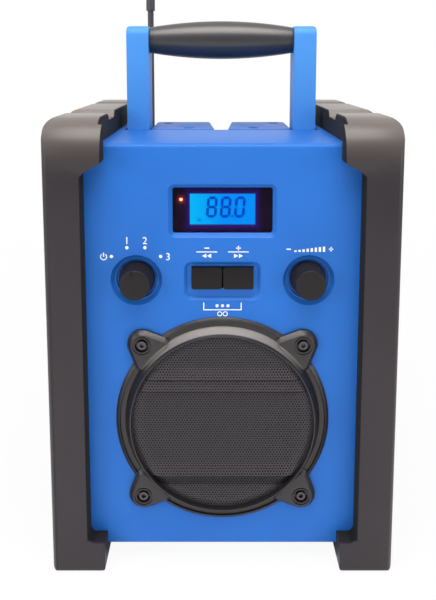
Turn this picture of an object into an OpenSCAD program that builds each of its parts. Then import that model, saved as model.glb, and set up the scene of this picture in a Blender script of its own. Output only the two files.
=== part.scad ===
/* [Overall size] */
// Width over the two side armours
overall_w = 215; // [211:1:222]
// Depth of the side armours, front to back
overall_d = 205; // [203:1:215]
// Height of the side armours
armor_h = 288.4; // [286:0.2:296]
// Height of the antenna's tip above the ground
antenna_top_z = 395; // [380:5:420]

/* [Side armour] */
// Wall of the armour beside the shell
armor_wall = 9; // [8:0.5:10]
// Depth of the grooves that run across the armour
groove_depth = 5; // [4:0.5:5.5]
// Run of a groove's sloping side
groove_slope = 4; // [2:0.5:6]
// Depth of the front band
front_band_d = 45; // [43:1:48]
// Width of the front groove
front_groove_w = 32; // [28:1:34]
// Depth of the middle band
middle_band_d = 62; // [58:1:66]
// Width of the rear groove
rear_groove_w = 25; // [22:1:28]
// How far the front strip stands ahead of the shell
flange_d = 11; // [9:0.5:12]
// Width of the upright front strip
strip_w = 23.1; // [21:0.5:25]
// Width of the ear at the top of the strip
ear_w = 35.5; // [34:0.5:36.5]
// Height of the ear
ear_h = 26; // [24:0.5:30]
// Height of the slope under the ear
ear_slope_h = 7; // [4:0.5:10]
// Width of the rail along the top
rail_w = 33; // [31:0.5:34]
// Height of the rail above the deck
rail_h = 15.9; // [14:0.2:18]
// Width of the runner along the bottom
runner_w = 33.5; // [30:0.5:35]
// Height of the runner's top above the ground
runner_h = 20; // [18:0.5:22]
// Radius of the front top edge
brow_r = 24; // [18:1:28]
// Radius of the rear top edge
rear_brow_r = 12; // [8:1:16]
// Radius of the long top corner
shoulder_r = 7; // [5:0.5:9]
// Radius of the upright outer edges
edge_r = 4; // [2:0.5:5]

/* [Shell] */
// Wall of the two shells
shell_wall = 3; // [2.6:0.1:3.4]
// Gap between the armour and the shell
fit_gap = 0.2; // [0.1:0.05:0.3]
// Depth of the front shell
front_shell_d = 80; // [77:0.5:82]
// Height of the shell's underside above the ground
belly_z = 11.2; // [9:0.2:13]
// Radius of the deck's front edge
deck_edge_r = 3; // [1.5:0.5:4]
// Depth of the well that the folded handle lies in
well_depth = 29.5; // [28.8:0.1:30.5]
// Radius of the case screws' bosses
case_boss_r = 5; // [4.5:0.25:5.5]
// Thickness of the seal between the shells
seal_t = 0.8; // [0.6:0.1:1.2]

/* [Handle] */
// Gap between the armour's rails and the handle's arms
rail_gap = 6.3; // [6:0.1:7.5]
// Width of one arm
arm_w = 15.8; // [14:0.2:16.5]
// Depth of one arm, front to back
arm_d = 25; // [22:0.5:25.5]
// Height of the arms' tops above the deck
handle_rise = 74.7; // [71:0.2:76]
// Height of the pivot above the well's floor
pivot_h = 15; // [14.2:0.1:16]
// Radius of the pivot pins
pivot_r = 4; // [3:0.25:5]
// Gap between the arms and the deck's edge
arm_gap = 0.4; // [0.3:0.1:0.8]
// Radius of the grip at its ends
grip_end_r = 9.25; // [9:0.25:11]
// Radius of the grip at its middle
grip_mid_r = 13.75; // [12:0.25:14]
// Radius of the rod inside the grip
rod_r = 5; // [4:0.5:6]
// Height of the brackets between the arms
bracket_h = 29.5; // [26:0.5:30]
// Depth of the brackets, front to back
bracket_d = 57; // [55:0.5:59]
// Distance of the brackets' fronts from the middle
bracket_in_x = 5; // [4:0.5:8]

/* [Speaker] */
// Radius of the ring's outer rim
ring_r = 67; // [66:0.5:69]
// Radius of the ring's opening
ring_open_r = 57; // [55:0.5:58]
// How far the ring's lip stands ahead of the shell
ring_h = 7.5; // [7:0.25:8]
// Distance of the ears from the speaker's centre, each way
ear_offset = 50; // [49.5:0.25:51]
// Radius of an ear's round end
lug_r = 9.25; // [8.5:0.25:9.5]
// Radius of the screws in the ears
ring_screw_r = 1.5; // [1.25:0.25:2]
// Thickness of the grille
grille_t = 1; // [0.8:0.1:1.5]
// Radius of the driver's mounting flange
driver_r = 61; // [59:0.5:62]
// Radius of the cone at its outer edge
cone_r = 46; // [44:0.5:47]
// Depth of the driver's basket
basket_d = 34; // [30:1:40]
// Radius of the driver's magnet
magnet_r = 34; // [30:1:40]
// Thickness of the driver's magnet
magnet_t = 15; // [12:1:20]

/* [Controls] */
// Distance of the knobs in from the armour's strips
knob_inset = 31.2; // [29.5:0.2:32.5]
// Radius of a knob at its base
knob_base_r = 11.3; // [10.5:0.1:11.8]
// Radius of a knob at its front
knob_front_r = 9.4; // [8.5:0.1:10]
// Length of a knob
knob_l = 15; // [13:0.5:15.4]
// Radius of the cup that holds a knob, at the shell's face
cup_r = 16; // [15:0.25:17]
// Radius of the cup's inner step
cup_step_r = 12.8; // [12.4:0.1:13.5]
// Depth of the cup
cup_depth = 5; // [4.6:0.2:6]
// Radius of the knobs' shafts
shaft_r = 3; // [2.5:0.25:3.25]
// Width of a button
button_w = 18.5; // [17:0.1:18.8]
// Height of a button
button_h = 13.4; // [12.5:0.1:14]
// Height of the buttons' centres above the knobs' centres
button_rise = 1.4; // [0:0.1:2.5]
// Gap between the two buttons
button_gap = 0.9; // [0.8:0.1:1.4]
// How far the buttons stand ahead of the shell
button_proud = 1.5; // [1:0.25:2.5]
// Travel of a button
button_travel = 0.8; // [0.5:0.1:0.9]

/* [Display] */
// Width of the window
window_w = 61.4; // [59:0.2:63]
// Height of the window
window_h = 28.2; // [27:0.2:29]
// Width of the window's sloping surround
window_slope = 2.6; // [2:0.1:3.2]
// Radius of the window's corners
window_corner_r = 1.6; // [0.5:0.1:2.5]
// Width of the lit glass
glass_w = 40.4; // [38:0.2:42]
// Height of the lit glass
glass_h = 19.8; // [18:0.2:20.5]

/* [Battery bay] */
// Radius of a cell
cell_r = 16.6; // [16.2:0.1:17]
// Length of a cell
cell_l = 61; // [60:0.5:62]
// Room for the springs and contacts at the ends of the cells
contact_room = 11; // [9:0.5:13]
// Wall of the bay's box
bay_wall = 2; // [1.5:0.25:2.5]
// Thickness of the door
door_t = 2.7; // [2.4:0.1:2.9]
// Radius of the lock's shank
lock_r = 2.5; // [2:0.25:3]

/* [Sockets] */
// Distance of the socket pocket's centre in from the shell's side
pocket_inset = 52.3; // [50.3:1:54.3]
// Height of the pocket's centre above the ground
pocket_z = 165; // [150:1:175]
// Width of the pocket
pocket_w = 48; // [46:1:52]
// Height of the pocket
pocket_h = 30; // [26:1:34]
// Depth of the pocket
pocket_d = 12; // [10:0.5:14]
// Radius of the signal socket's bore
signal_bore_r = 1.8; // [1.75:0.05:1.9]
// Radius of the power socket's bore
power_bore_r = 3; // [2.75:0.05:3.2]

/* [Antenna] */
// Distance of the antenna in from the armour's ear
antenna_inset = 11; // [9:0.5:14]
// Distance of the antenna's pivot below the well's floor
antenna_drop = 21; // [17:1:28]
// Radius of the antenna's rod
antenna_r = 2.6; // [2:0.1:3]
// Radius of the antenna's tip
antenna_tip_r = 3.8; // [3:0.1:4]
// Length of the antenna's tip
antenna_tip_l = 29; // [15:1:35]

/* [Boards] */
// Thickness of the circuit boards
board_t = 1.6; // [1.2:0.1:2]
// Distance of the control board behind the shell's face
board_set = 14.5; // [14.2:0.1:15.5]
// Gap between the control board and the case screws' bosses
board_side_gap = 1.9; // [1.5:0.1:4]
// Width of the main board
main_board_w = 78; // [70:1:80]
// Height of the main board
main_board_h = 92; // [88:1:96]

/* [Hidden] */

$fn = 64;
// Running clearance of pins and shafts in their bores, on the radius
run_gap = 0.05;
// Clearance between pieces that pass each other
pass_gap = 0.3;
// Room past the tip of a screw or pin in its bore
tip_gap = 0.5;
// Floor that a blind bore leaves in its boss
boss_floor = 1;
// A cut's overrun past a face
over = 1;
// Thickness of the slices that a sloping cut is hulled from
slice = 0.01;
// Width and depth of the cross in a screw's head
cross_w = 0.8;
cross_depth = 1.2;

// Places along the depth
front_y = -overall_d / 2;
back_y = overall_d / 2;
face_y = front_y + flange_d;
face_in_y = face_y + shell_wall;
seam_y = face_y + front_shell_d;
rear_y = back_y - flange_d;
rear_in_y = rear_y - shell_wall;

// Heights
foot_proud = 0.8;
deck_z = armor_h - rail_h;
well_z = deck_z - well_depth;
ear_z = armor_h - ear_h;
hip_z = runner_h + fit_gap;

// Places across the width
armor_x = overall_w / 2;
shell_x = armor_x - armor_wall - fit_gap;
strip_x = armor_x - strip_w;
ear_x = armor_x - ear_w;
rail_x = armor_x - rail_w;
runner_x = armor_x - runner_w;
hip_x = runner_x - fit_gap;
handle_w = 2 * (rail_x - rail_gap);
washer_t = 1.6;
well_x = handle_w / 2 + 2 * pass_gap + washer_t;

// Shells and their seal
shell_edge_r = 2;
seal_inset = 0.9;

// Case screws
case_side_gap = 1.5;
case_boss_x = strip_x - case_boss_r - case_side_gap;
case_screw_r = 1.9;
case_head_r = 3.6;
case_head_t = 2.6;
case_screw_l = 24;
case_seat = 18;
case_bore_l = case_screw_l - case_seat + tip_gap;
case_cross_l = 4;
case_rise = 4;
case_drop = 13;
case_low_z = hip_z + shell_wall + case_boss_r + case_rise;
case_high_z = well_z - case_drop;

// Armour screws and feet
armor_toe_r = 2.5;
armor_heel_r = 4;
armor_crook_r = 4.5;
armor_ear_r = 2;
armor_strip_r = 3;
armor_screw_r = 2;
armor_head_r = 4.4;
armor_head_t = 2.2;
armor_hex_r = 1.5;
armor_hex_depth = 1.4;
armor_boss_r = 5;
armor_boss_l = 9;
armor_boss_x = shell_x - shell_wall - armor_boss_l;
armor_seat_x = armor_x - groove_depth - armor_head_t;
armor_screw_rise = 49.8;
armor_screw_drop = 47.5;
armor_screw_zs = [hip_z + armor_screw_rise, deck_z - armor_screw_drop];
front_groove_y = front_y + front_band_d;
rear_groove_y = front_groove_y + front_groove_w + middle_band_d;
armor_screw_ys = [front_groove_y + front_groove_w / 2, rear_groove_y + rear_groove_w / 2];
foot_r = 8;
foot_t = 3;
foot_inset = 25;

// Handle
pivot_y = seam_y + arm_gap + arm_d / 2;
pivot_z = well_z + pivot_h;
arm_in_x = handle_w / 2 - arm_w;
handle_top_z = deck_z + handle_rise;
grip_drop = 9.9;
grip_z = handle_top_z - grip_drop;
grip_steps = 12;
arm_top_r = 7;
arm_edge_r = 2.5;
arm_inner_r = 1;
rod_bite = 9;
handle_screw_r = 2;
handle_screw_bite = 12;
handle_head_r = 3.6;
handle_head_t = 3;
handle_hex_r = 1.7;
handle_hex_depth = 1.8;
bracket_gap = 1.2;
bracket_out_x = arm_in_x - bracket_gap;
bracket_set = 4;
bracket_y = seam_y + bracket_set;
bracket_taper = 4.2;
bracket_front_r = 1.5;
bracket_corner_r = 3.5;
pin_bite = 7;
pin_boss_r = 8;
bracket_bore_r = 4;
bracket_screw_r = 1.6;
bracket_head_r = 3.2;
bracket_head_t = 2.4;
bracket_floor_t = 6;
bracket_cross_l = 3.6;
bracket_boss_r = 4.5;
bracket_boss_l = 8;
bracket_bore_l = shell_wall + bracket_boss_l - boss_floor;
bracket_screw_inner = [27, 10];
bracket_screw_outer = [8.9, 47.6];
bracket_screws_at = [for (p = [bracket_screw_inner, bracket_screw_outer])
    [bracket_out_x - p.x, bracket_y + p.y]];

// Heights on the face: the free height is shared out under the ring, the cups, the window and
// the deck in these proportions
face_gaps = [18.8, 7.5, 10.8, 24.8];
gap_scale = (deck_z - belly_z - 2 * (ring_r + cup_r + window_slope) - window_h)
    / (face_gaps * [1, 1, 1, 1]);
speaker_z = belly_z + gap_scale * face_gaps[0] + ring_r;
knob_z = speaker_z + ring_r + gap_scale * face_gaps[1] + cup_r;
display_z = knob_z + cup_r + gap_scale * face_gaps[2] + window_slope + window_h / 2;

// Speaker
baffle_t = 4;
baffle_rim = 2;
driver_y = face_in_y + baffle_t;
driver_gap = 0.5;
surround_w = 5.5;
driver_hole_r = cone_r + surround_w + driver_gap;
gasket_t = 2.6;
grille_lap = 1.5;
grille_r = ring_open_r + grille_lap;
dome_h = 1.6;
dome_r = ring_open_r - 4;
dome_foot_r = dome_r + dome_h + 0.8;
grille_y = face_y - gasket_t - grille_t;
ring_seat_r = grille_r + pass_gap;
ring_seat_t = gasket_t + grille_t + 0.2;
rim_h = 2.2;
rim_low_h = 0.6;
rim_w = 2.8;
rim_bevel = 2.4;
rim_groove_w = 2.8;
rim_groove_h = 0.9;
lip_w = 0.7;
lip_bevel = 0.4;
lip_bevel_h = 1;
lug_reach = ear_offset * sqrt(2);
lug_h = 4.2;
lug_bevel = 2.4;
lug_root_r = 4.2;
lug_root_w = 9.6;
ring_head_r = 2.75;
ring_head_t = 2.8;
lug_bore_r = ring_head_r + 1.6;
lug_bore_depth = 3.1;
lug_groove_gap = 0.8;
lug_groove_w = 0.7;
lug_groove_depth = 0.8;
rib_h = 1.4;
rib_notch_h = 0.3;
upper_rib = [[20.7, 0], [21.6, rib_h], [28, rib_notch_h], [28.8, rib_h], [35.5, 0]];
lower_rib = [[-41.5, 0], [-34.2, rib_h], [-28, 0]];
ring_hex_r = 1.45;
ring_hex_depth = 1.6;
ring_boss_r = 4;
ring_boss_l = 11;
driver_screw_r = 1.5;
driver_head_r = 2.8;
driver_head_t = 2;
driver_bore_l = 5;
driver_flange_t = 2;
driver_screw_inset = 4;
driver_screw_pcd_r = driver_r - driver_screw_inset;
basket_wall = 1.6;
voice_r = 13;
voice_gap = 1.2;
voice_depth = 6;
cone_t = 0.8;
cone_neck_l = 16;
cap_rise = 5;
cap_t = 0.8;

// Controls
knob_x = strip_x - knob_inset;
board_y = face_y + board_set;
switch_t = 7;
switch_w = 13;
bushing_wall = 1.4;
bushing_r = shaft_r + bushing_wall;
bushing_set = 0.2;
switch_floor_t = 0.6;
cup_wall = 2;
cup_step_h = 2;
cup_floor_t = board_set - switch_t - cup_depth;
knob_front_y = face_y + cup_depth - pass_gap - knob_l;
knob_bore_depth = 10;
knob_edge = 0.7;
knob_recess = 1;
knob_recess_r = shaft_r + 2.5;
pointer_turn = 15;
pointer_w = 1;
pointer_depth = 0.5;
pointer_in_r = 5.2;
button_z = knob_z + button_rise;
button_corner_r = 1.2;
lip = 1;
lip_t = 1.5;
frame_t = 1;
frame_lap = 2;
frame_side = 3;
frame_top = 1.7;
frame_low = 5.6;
frame_rim_w = 2 * button_w + button_gap + 2 * frame_side;
frame_rim_h = button_h + frame_top + frame_low;
frame_z = button_z + (frame_top - frame_low) / 2;
frame_corner_r = 3;
frame_slope = 2;
stem_r = 2;
tact_w = 6;
tact_body_t = 3.5;
tact_nub_r = 1.75;
tact_nub_t = 1.5;
tact_nub_y = board_y - tact_body_t - tact_nub_t;
button_x = (button_w + button_gap) / 2;

// Display
lens_t = 1.5;
lens_lap = 2;
bezel_t = 2.5;
glass_t = 2.5;
glass_lap = 2.5;
led_side = 5.4;
led_rise = 6.2;
led_x = -glass_w / 2 - led_side;
led_z = display_z + led_rise;
led_r = 1.1;
led_set = 0.3;
led_dome = 0.5;
lens_y = face_in_y;
bezel_y = lens_y + lens_t;
glass_y = bezel_y + bezel_t;

// Control board and its posts
board_low_room = 24.5;
board_high_room = 3.5;
control_board_w = 2 * (case_boss_x - case_boss_r - board_side_gap);
board_low_z = knob_z - board_low_room;
board_high_z = display_z + window_h / 2 + board_high_room;
board_corner_r = 2;
post_inset = 5;
post_r = 3.2;
post_bore_l = 8;
post_screw_r = 1.25;
post_head_r = 2.6;
post_head_t = 1.8;
upper_post_x = control_board_w / 2 - post_inset;
lower_post_x = 32;
board_posts = [for (s = [-1, 1]) each [[s * upper_post_x, board_high_z - post_inset],
    [s * lower_post_x, board_low_z + post_inset]]];

// Battery bay
bay_gap = 1;
bay_z = case_low_z + case_boss_r + bay_gap + bay_wall;
bay_w = 2 * cell_l + contact_room;
bay_low_room = 4.6;
bay_top_room = 0.6;
bay_front_room = 0.2;
bay_door_room = 3.6;
row_gap = 0.4;
bay_h = bay_low_room + 4 * cell_r + row_gap + bay_top_room;
bay_top_z = bay_z + bay_h;
bay_d = bay_front_room + 2 * cell_r + bay_door_room;
bay_y = rear_y - bay_d;
cell_y = bay_y + bay_front_room + cell_r;
row_zs = [bay_top_z - bay_top_room - 3 * cell_r - row_gap, bay_top_z - bay_top_room - cell_r];
hinge_up = 4;
hinge_r = 2.6;
hinge_pin_r = 1.25;
hinge_set = 3.4;
hinge_y = rear_y - hinge_set;
hinge_lug_l = 5;
flap_side_gap = 0.6;
contact_t = 0.5;
contact_half = 8;
cell_nub_l = 1.2;
cell_nub_r = 4.6;
cell_gap = 0.1;
spring_room = contact_room - 2 * contact_t - cell_nub_l - cell_gap;
spring_r = 6;
spring_wire_r = 0.5;
spring_turns = 4;
tab_w = 24;
tab_h = 16;
tab_t = 1.2;
tab_gap = 0.2;
tab_lap = 3;
lock_up = 9;
lock_head_r = 6;
lock_head_t = 2;
lock_slack = 0.6;
lock_l = 7;
lock_slot_w = 1.8;
lock_slot_depth = 1;
lock_boss_r = 5.6;
lock_boss_l = 5.5;

// Sockets
pocket_x = shell_x - pocket_inset;
pocket_floor_y = rear_in_y - pocket_d;
pocket_wall = 2;
socket_body_l = 12;
signal_body_w = 9;
power_body_w = 12;
power_pin_r = 1.05;
power_pin_set = 1;
signal_side = 11;
power_side = 8;

// Antenna
knuckle_w = 8;
knuckle_r = 4.2;
antenna_pin_r = 1.5;
antenna_set = 5.2;
antenna_x = ear_x - antenna_inset;
antenna_y = rear_y + antenna_set;
antenna_pivot_z = well_z - antenna_drop;
antenna_collar_l = 14;
antenna_collar_t = 1;
clevis_plate_t = 0.7;
clevis_wall = 3;
clevis_gap = 0.2;
clevis_nose_r = 3.7;
clevis_h = 22;
clevis_peg_r = 1;
clevis_peg_inset = 3;

// Main board
main_board_x = -31;
main_board_gap = 2.8;
main_board_z = bay_top_z + bay_wall + main_board_gap + main_board_h / 2;
main_board_set = 13;
main_board_y = rear_in_y - main_board_set;
main_post_r = 3;
sink_at = [-14, -22];
sink_w = 30;
sink_base_t = 3;
sink_fin_h = 15;
sink_fin_t = 2;
sink_fins = 6;
capacitor_at = [20, -26];
capacitor_pitch = 20;
capacitor_r = 8;
capacitor_l = 24;
tuner_at = [-12, 24];
tuner_w = 36;
tuner_h = 24;
tuner_t = 8;

// Parts laid out with one function each
function unit(v) = v / norm(v);
// Arc that rounds corner b, between its neighbours a and c
function corner_arc(a, b, c, r, n) = r <= 0 ? [b] :
    let (u = unit(a - b), w = unit(c - b), half = acos(u * w) / 2,
        mid = b + unit(u + w) * r / sin(half),
        s = b + u * r / tan(half) - mid, e = b + w * r / tan(half) - mid,
        a0 = atan2(s.y, s.x), turn = atan2(e.y, e.x) - a0,
        sweep = turn > 180 ? turn - 360 : turn < -180 ? turn + 360 : turn)
    [for (i = [0:n]) mid + r * [cos(a0 + sweep * i / n), sin(a0 + sweep * i / n)]];
// Outline through corners [x, y, radius]
function rounded(p, n = 6) = [for (i = [0:len(p) - 1])
    let (a = p[(i + len(p) - 1) % len(p)], b = p[i], c = p[(i + 1) % len(p)])
    each corner_arc([a.x, a.y], [b.x, b.y], [c.x, c.y], b[2], n)];
function box_corners(x0, x1, y0, y1, r) = [[x0, y0, r], [x1, y0, r], [x1, y1, r], [x0, y1, r]];
// Outline of the shells seen from the front, moved inwards by i
function body_corners(i, r, welled) = concat(
    [[-hip_x + i, belly_z + i, r], [hip_x - i, belly_z + i, r], [hip_x - i, hip_z + i, 0],
        [shell_x - i, hip_z + i, r], [shell_x - i, deck_z - i, r]],
    welled ? [[well_x + i, deck_z - i, 0], [well_x + i, well_z - i, 0],
        [-well_x - i, well_z - i, 0], [-well_x - i, deck_z - i, 0]] : [],
    [[-shell_x + i, deck_z - i, r], [-shell_x + i, hip_z + i, r], [-hip_x + i, hip_z + i, 0]]);
function body_outline(i, r, welled) = rounded(body_corners(i, r, welled));
// Points of a spring's wire along X, from its base
function spring_path(l) = [for (i = [0:12 * spring_turns])
    let (t = i / (12 * spring_turns), r = spring_r * (1 - 0.35 * t) - spring_wire_r)
    [l * t, r * cos(360 * spring_turns * t), r * sin(360 * spring_turns * t)]];

module slab(y0, y1) translate([0, y1, 0]) rotate([90, 0, 0]) linear_extrude(y1 - y0) children();
module bar(x0, x1) translate([x0, 0, 0]) rotate([90, 0, 90]) linear_extrude(x1 - x0) children();
module pin_y(r, y0, y1) translate([0, y0, 0]) rotate([-90, 0, 0]) cylinder(r = r, h = y1 - y0);
module pin_x(r, x0, x1) translate([x0, 0, 0]) rotate([0, 90, 0]) cylinder(r = r, h = x1 - x0);
module at_xz(x, z) translate([x, 0, z]) children();
module both_sides() for (s = [0, 1]) mirror([s, 0, 0]) children();
module block(x0, x1, y0, y1, z0, z1) translate([x0, y0, z0]) cube([x1 - x0, y1 - y0, z1 - z0]);
// Solid of revolution whose profile is [radius, distance behind y]
module turned(y, p) translate([0, y, 0]) rotate([-90, 0, 0]) rotate_extrude() polygon(p);
// Round wire along a list of points
module wire(p, r, sides = 6) {
    tangents = [for (i = [0:len(p) - 1]) unit(p[min(i + 1, len(p) - 1)] - p[max(i - 1, 0)])];
    rings = [for (i = [0:len(p) - 1])
        let (t = tangents[i], u = unit(cross(t, [1, 0.2, 0.1])), v = cross(t, u))
        [for (k = [0:sides - 1]) p[i] + r * (u * cos(360 * k / sides) + v * sin(360 * k / sides))]];
    polyhedron([for (ring = rings) each ring], concat(
        [[for (k = [0:sides - 1]) k]],
        [for (i = [0:len(p) - 2], k = [0:sides - 1])
            let (a = i * sides + k, b = i * sides + (k + 1) % sides) [a, a + sides, b + sides, b]],
        [[for (k = [sides - 1:-1:0]) (len(p) - 1) * sides + k]]));
}
module case_screw_places() both_sides()
    for (z = [case_low_z, case_high_z]) at_xz(case_boss_x, z) children();
module armor_screw_places(ys) for (y = ys, z = armor_screw_zs) translate([0, y, z]) children();
module foot_places() for (s = [-1, 1])
    translate([(armor_x + runner_x) / 2, s * (back_y - foot_inset), 0]) children();
module lug_places() for (a = [45, 135, 225, 315])
    at_xz(0, speaker_z) rotate([0, -a, 0]) children();
module bracket_screw_places() both_sides() for (p = bracket_screws_at)
    translate([p.x, p.y, well_z]) children();
module main_board_corners() for (x = [-1, 1], z = [-1, 1])
    at_xz(main_board_x + x * (main_board_w / 2 - post_inset),
        main_board_z + z * (main_board_h / 2 - post_inset)) children();
module antenna_peg_places() for (z = [-1, 1])
    at_xz(-antenna_x, antenna_pivot_z + z * (clevis_h / 2 - clevis_peg_inset)) children();
// Cross in a screw's head, which faces +Z at the origin
module cross_recess(l) for (a = [0, 90]) rotate([0, 0, a])
    block(-l / 2, l / 2, -cross_w / 2, cross_w / 2, -cross_depth, over);
module hex_recess(r, depth) translate([0, 0, -depth]) cylinder(r = r, h = depth + over, $fn = 6);

// Both shells, which the armour wraps
module front_shell() color("royalblue") difference() {
    union() {
        difference() {
            intersection() {
                slab(face_y, seam_y) polygon(body_outline(0, shell_edge_r, false));
                bar(-armor_x, armor_x) polygon(rounded([[face_y, belly_z, shell_edge_r],
                    [seam_y, belly_z, 0], [seam_y, deck_z, 0], [face_y, deck_z, deck_edge_r]]));
            }
            slab(face_in_y, seam_y - shell_wall) polygon(body_outline(shell_wall, 0, false));
            slab(seam_y - shell_wall - over, seam_y + over)
                polygon(body_outline(shell_wall, 0, true));
            slab(seam_y - seal_t, seam_y + over) difference() {
                polygon(body_outline(seal_inset, 0, true));
                polygon(body_outline(shell_wall - seal_inset, 0, true));
            }
        }
        at_xz(0, speaker_z) pin_y(driver_r + baffle_rim, face_in_y, driver_y);
        lug_places() translate([lug_reach, 0, 0])
            pin_y(ring_boss_r, face_in_y, face_in_y + ring_boss_l);
        both_sides() at_xz(knob_x, knob_z)
            pin_y(cup_r + cup_wall, face_in_y, face_y + cup_depth + cup_floor_t);
        case_screw_places() pin_y(case_boss_r, face_in_y, seam_y);
        for (p = board_posts) at_xz(p.x, p.y) pin_y(post_r, face_in_y, board_y);
        both_sides() armor_screw_places([armor_screw_ys[0]])
            pin_x(armor_boss_r, armor_boss_x, shell_x - shell_wall);
    }
    at_xz(0, speaker_z) pin_y(driver_hole_r, face_y - over, driver_y + over);
    lug_places() translate([lug_reach, 0, 0])
        pin_y(ring_screw_r, face_y - over, face_in_y + ring_boss_l - boss_floor);
    driver_screw_places() pin_y(driver_screw_r, driver_y - driver_bore_l, driver_y + over);
    both_sides() at_xz(knob_x, knob_z) {
        turned(face_y, [[0, -over], [cup_r + over / 2, -over], [cup_r, 0],
            [cup_step_r + 1, cup_depth - cup_step_h], [cup_step_r, cup_depth - cup_step_h],
            [cup_step_r, cup_depth], [0, cup_depth]]);
        pin_y(bushing_r + run_gap, face_y, board_y);
    }
    hull() for (e = [[window_slope, face_y - slice], [0, face_in_y]]) at_xz(0, display_z)
        slab(e[1], e[1] + slice) polygon(rounded(box_corners(-window_w / 2 - e[0],
            window_w / 2 + e[0], -window_h / 2 - e[0], window_h / 2 + e[0],
            window_corner_r + e[0])));
    at_xz(0, frame_z) slab(face_y - over, face_in_y + over) polygon(rounded(box_corners(
        -frame_rim_w / 2, frame_rim_w / 2, -frame_rim_h / 2, frame_rim_h / 2, frame_corner_r)));
    hull() for (e = [[frame_slope, -slice], [0, frame_slope]]) at_xz(0, frame_z)
        slab(face_y + e[1], face_y + e[1] + slice) polygon(rounded(box_corners(
            -frame_rim_w / 2 - e[0], frame_rim_w / 2 + e[0], -frame_rim_h / 2 - e[0],
            frame_rim_h / 2 + e[0], frame_corner_r + e[0])));
    case_screw_places() pin_y(case_screw_r, seam_y - case_bore_l, seam_y + over);
    for (p = board_posts) at_xz(p.x, p.y)
        pin_y(post_screw_r, board_y - post_bore_l, board_y + over);
    both_sides() armor_screw_places([armor_screw_ys[0]])
        pin_x(armor_screw_r, armor_boss_x + boss_floor, shell_x + over);
}

module rear_shell() color("royalblue") difference() {
    union() {
        difference() {
            slab(seam_y, rear_y) polygon(body_outline(0, shell_edge_r, true));
            slab(seam_y - over, rear_in_y) polygon(body_outline(shell_wall, 0, true));
        }
        case_screw_places() pin_y(case_boss_r, seam_y, rear_in_y);
        both_sides() armor_screw_places([armor_screw_ys[1]])
            pin_x(armor_boss_r, armor_boss_x, shell_x - shell_wall);
        both_sides() translate([0, pivot_y, pivot_z])
            pin_x(pin_boss_r, well_x + shell_wall, well_x + pin_bite);
        bracket_screw_places() translate([0, 0, -shell_wall - bracket_boss_l])
            cylinder(r = bracket_boss_r, h = bracket_boss_l);
        both_sides() block(bay_w / 2 + bay_wall, bay_w / 2 + bay_wall + hinge_lug_l,
            hinge_y - hinge_r, rear_in_y, bay_z, bay_z + 2 * hinge_up);
        at_xz(0, bay_top_z + lock_up) pin_y(lock_boss_r, rear_in_y - lock_boss_l, rear_in_y);
        for (z = [-1, 1]) at_xz(pocket_x + pocket_w / 2 - hinge_up, pocket_z
            + z * (pocket_h / 2 + pocket_wall + hinge_lug_l / 2))
            block(-hinge_up, hinge_up, hinge_y - hinge_r, rear_in_y,
                -hinge_lug_l / 2, hinge_lug_l / 2);
        main_board_corners() pin_y(main_post_r, main_board_y + board_t, rear_in_y);
    }
    case_screw_places() {
        pin_y(case_screw_r + run_gap, seam_y - over, seam_y + case_seat + over);
        pin_y(case_head_r + pass_gap, seam_y + case_seat, rear_y + over);
    }
    both_sides() armor_screw_places([armor_screw_ys[1]])
        pin_x(armor_screw_r, armor_boss_x + boss_floor, shell_x + over);
    both_sides() translate([0, pivot_y, pivot_z])
        pin_x(pivot_r, well_x - over, well_x + pin_bite - boss_floor);
    bracket_screw_places() translate([0, 0, -bracket_bore_l])
        cylinder(r = bracket_screw_r, h = bracket_bore_l + over);
    main_board_corners() pin_y(post_screw_r, main_board_y, main_board_y + board_t + post_bore_l);
    block(-bay_w / 2, bay_w / 2, rear_in_y - over, rear_y + over, bay_z, bay_top_z);
    block(-tab_w / 2 - flap_side_gap, tab_w / 2 + flap_side_gap, rear_y - tab_t - tab_gap,
        rear_y + over, bay_top_z - over, bay_top_z + tab_h + flap_side_gap);
    at_xz(0, bay_top_z + lock_up) pin_y(lock_r + lock_slack, rear_y - lock_l, rear_y + over);
    at_xz(pocket_x, pocket_z) block(-pocket_w / 2, pocket_w / 2, rear_in_y - over, rear_y + over,
        -pocket_h / 2, pocket_h / 2);
    translate([0, hinge_y, bay_z + hinge_up])
        pin_x(hinge_pin_r, -bay_w / 2 - bay_wall - hinge_lug_l + over,
            bay_w / 2 + bay_wall + hinge_lug_l - over);
    socket_hinge() pin_x(hinge_pin_r, -pocket_h / 2 - pocket_wall - hinge_lug_l + over,
        pocket_h / 2 + pocket_wall + hinge_lug_l - over);
    antenna_peg_places() pin_y(clevis_peg_r + run_gap, rear_in_y - over, rear_y + over);
}

module shell_seal() color("dimgray") slab(seam_y - seal_t, seam_y) difference() {
    polygon(body_outline(seal_inset + run_gap, 0, true));
    polygon(body_outline(shell_wall - seal_inset - run_gap, 0, true));
}

// Side armours
module armor_groove(y, w) {
    deep = [[y + groove_slope, -groove_depth], [y + w - groove_slope, -groove_depth],
        [y + w, 0], [y + w, over], [y, over], [y, 0]];
    linear_extrude(armor_h + over) polygon([for (p = deep) [armor_x + p.y, p.x]]);
    bar(runner_x - over, armor_x + over) polygon([for (p = deep) [p.x, armor_h + p.y]]);
}

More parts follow.
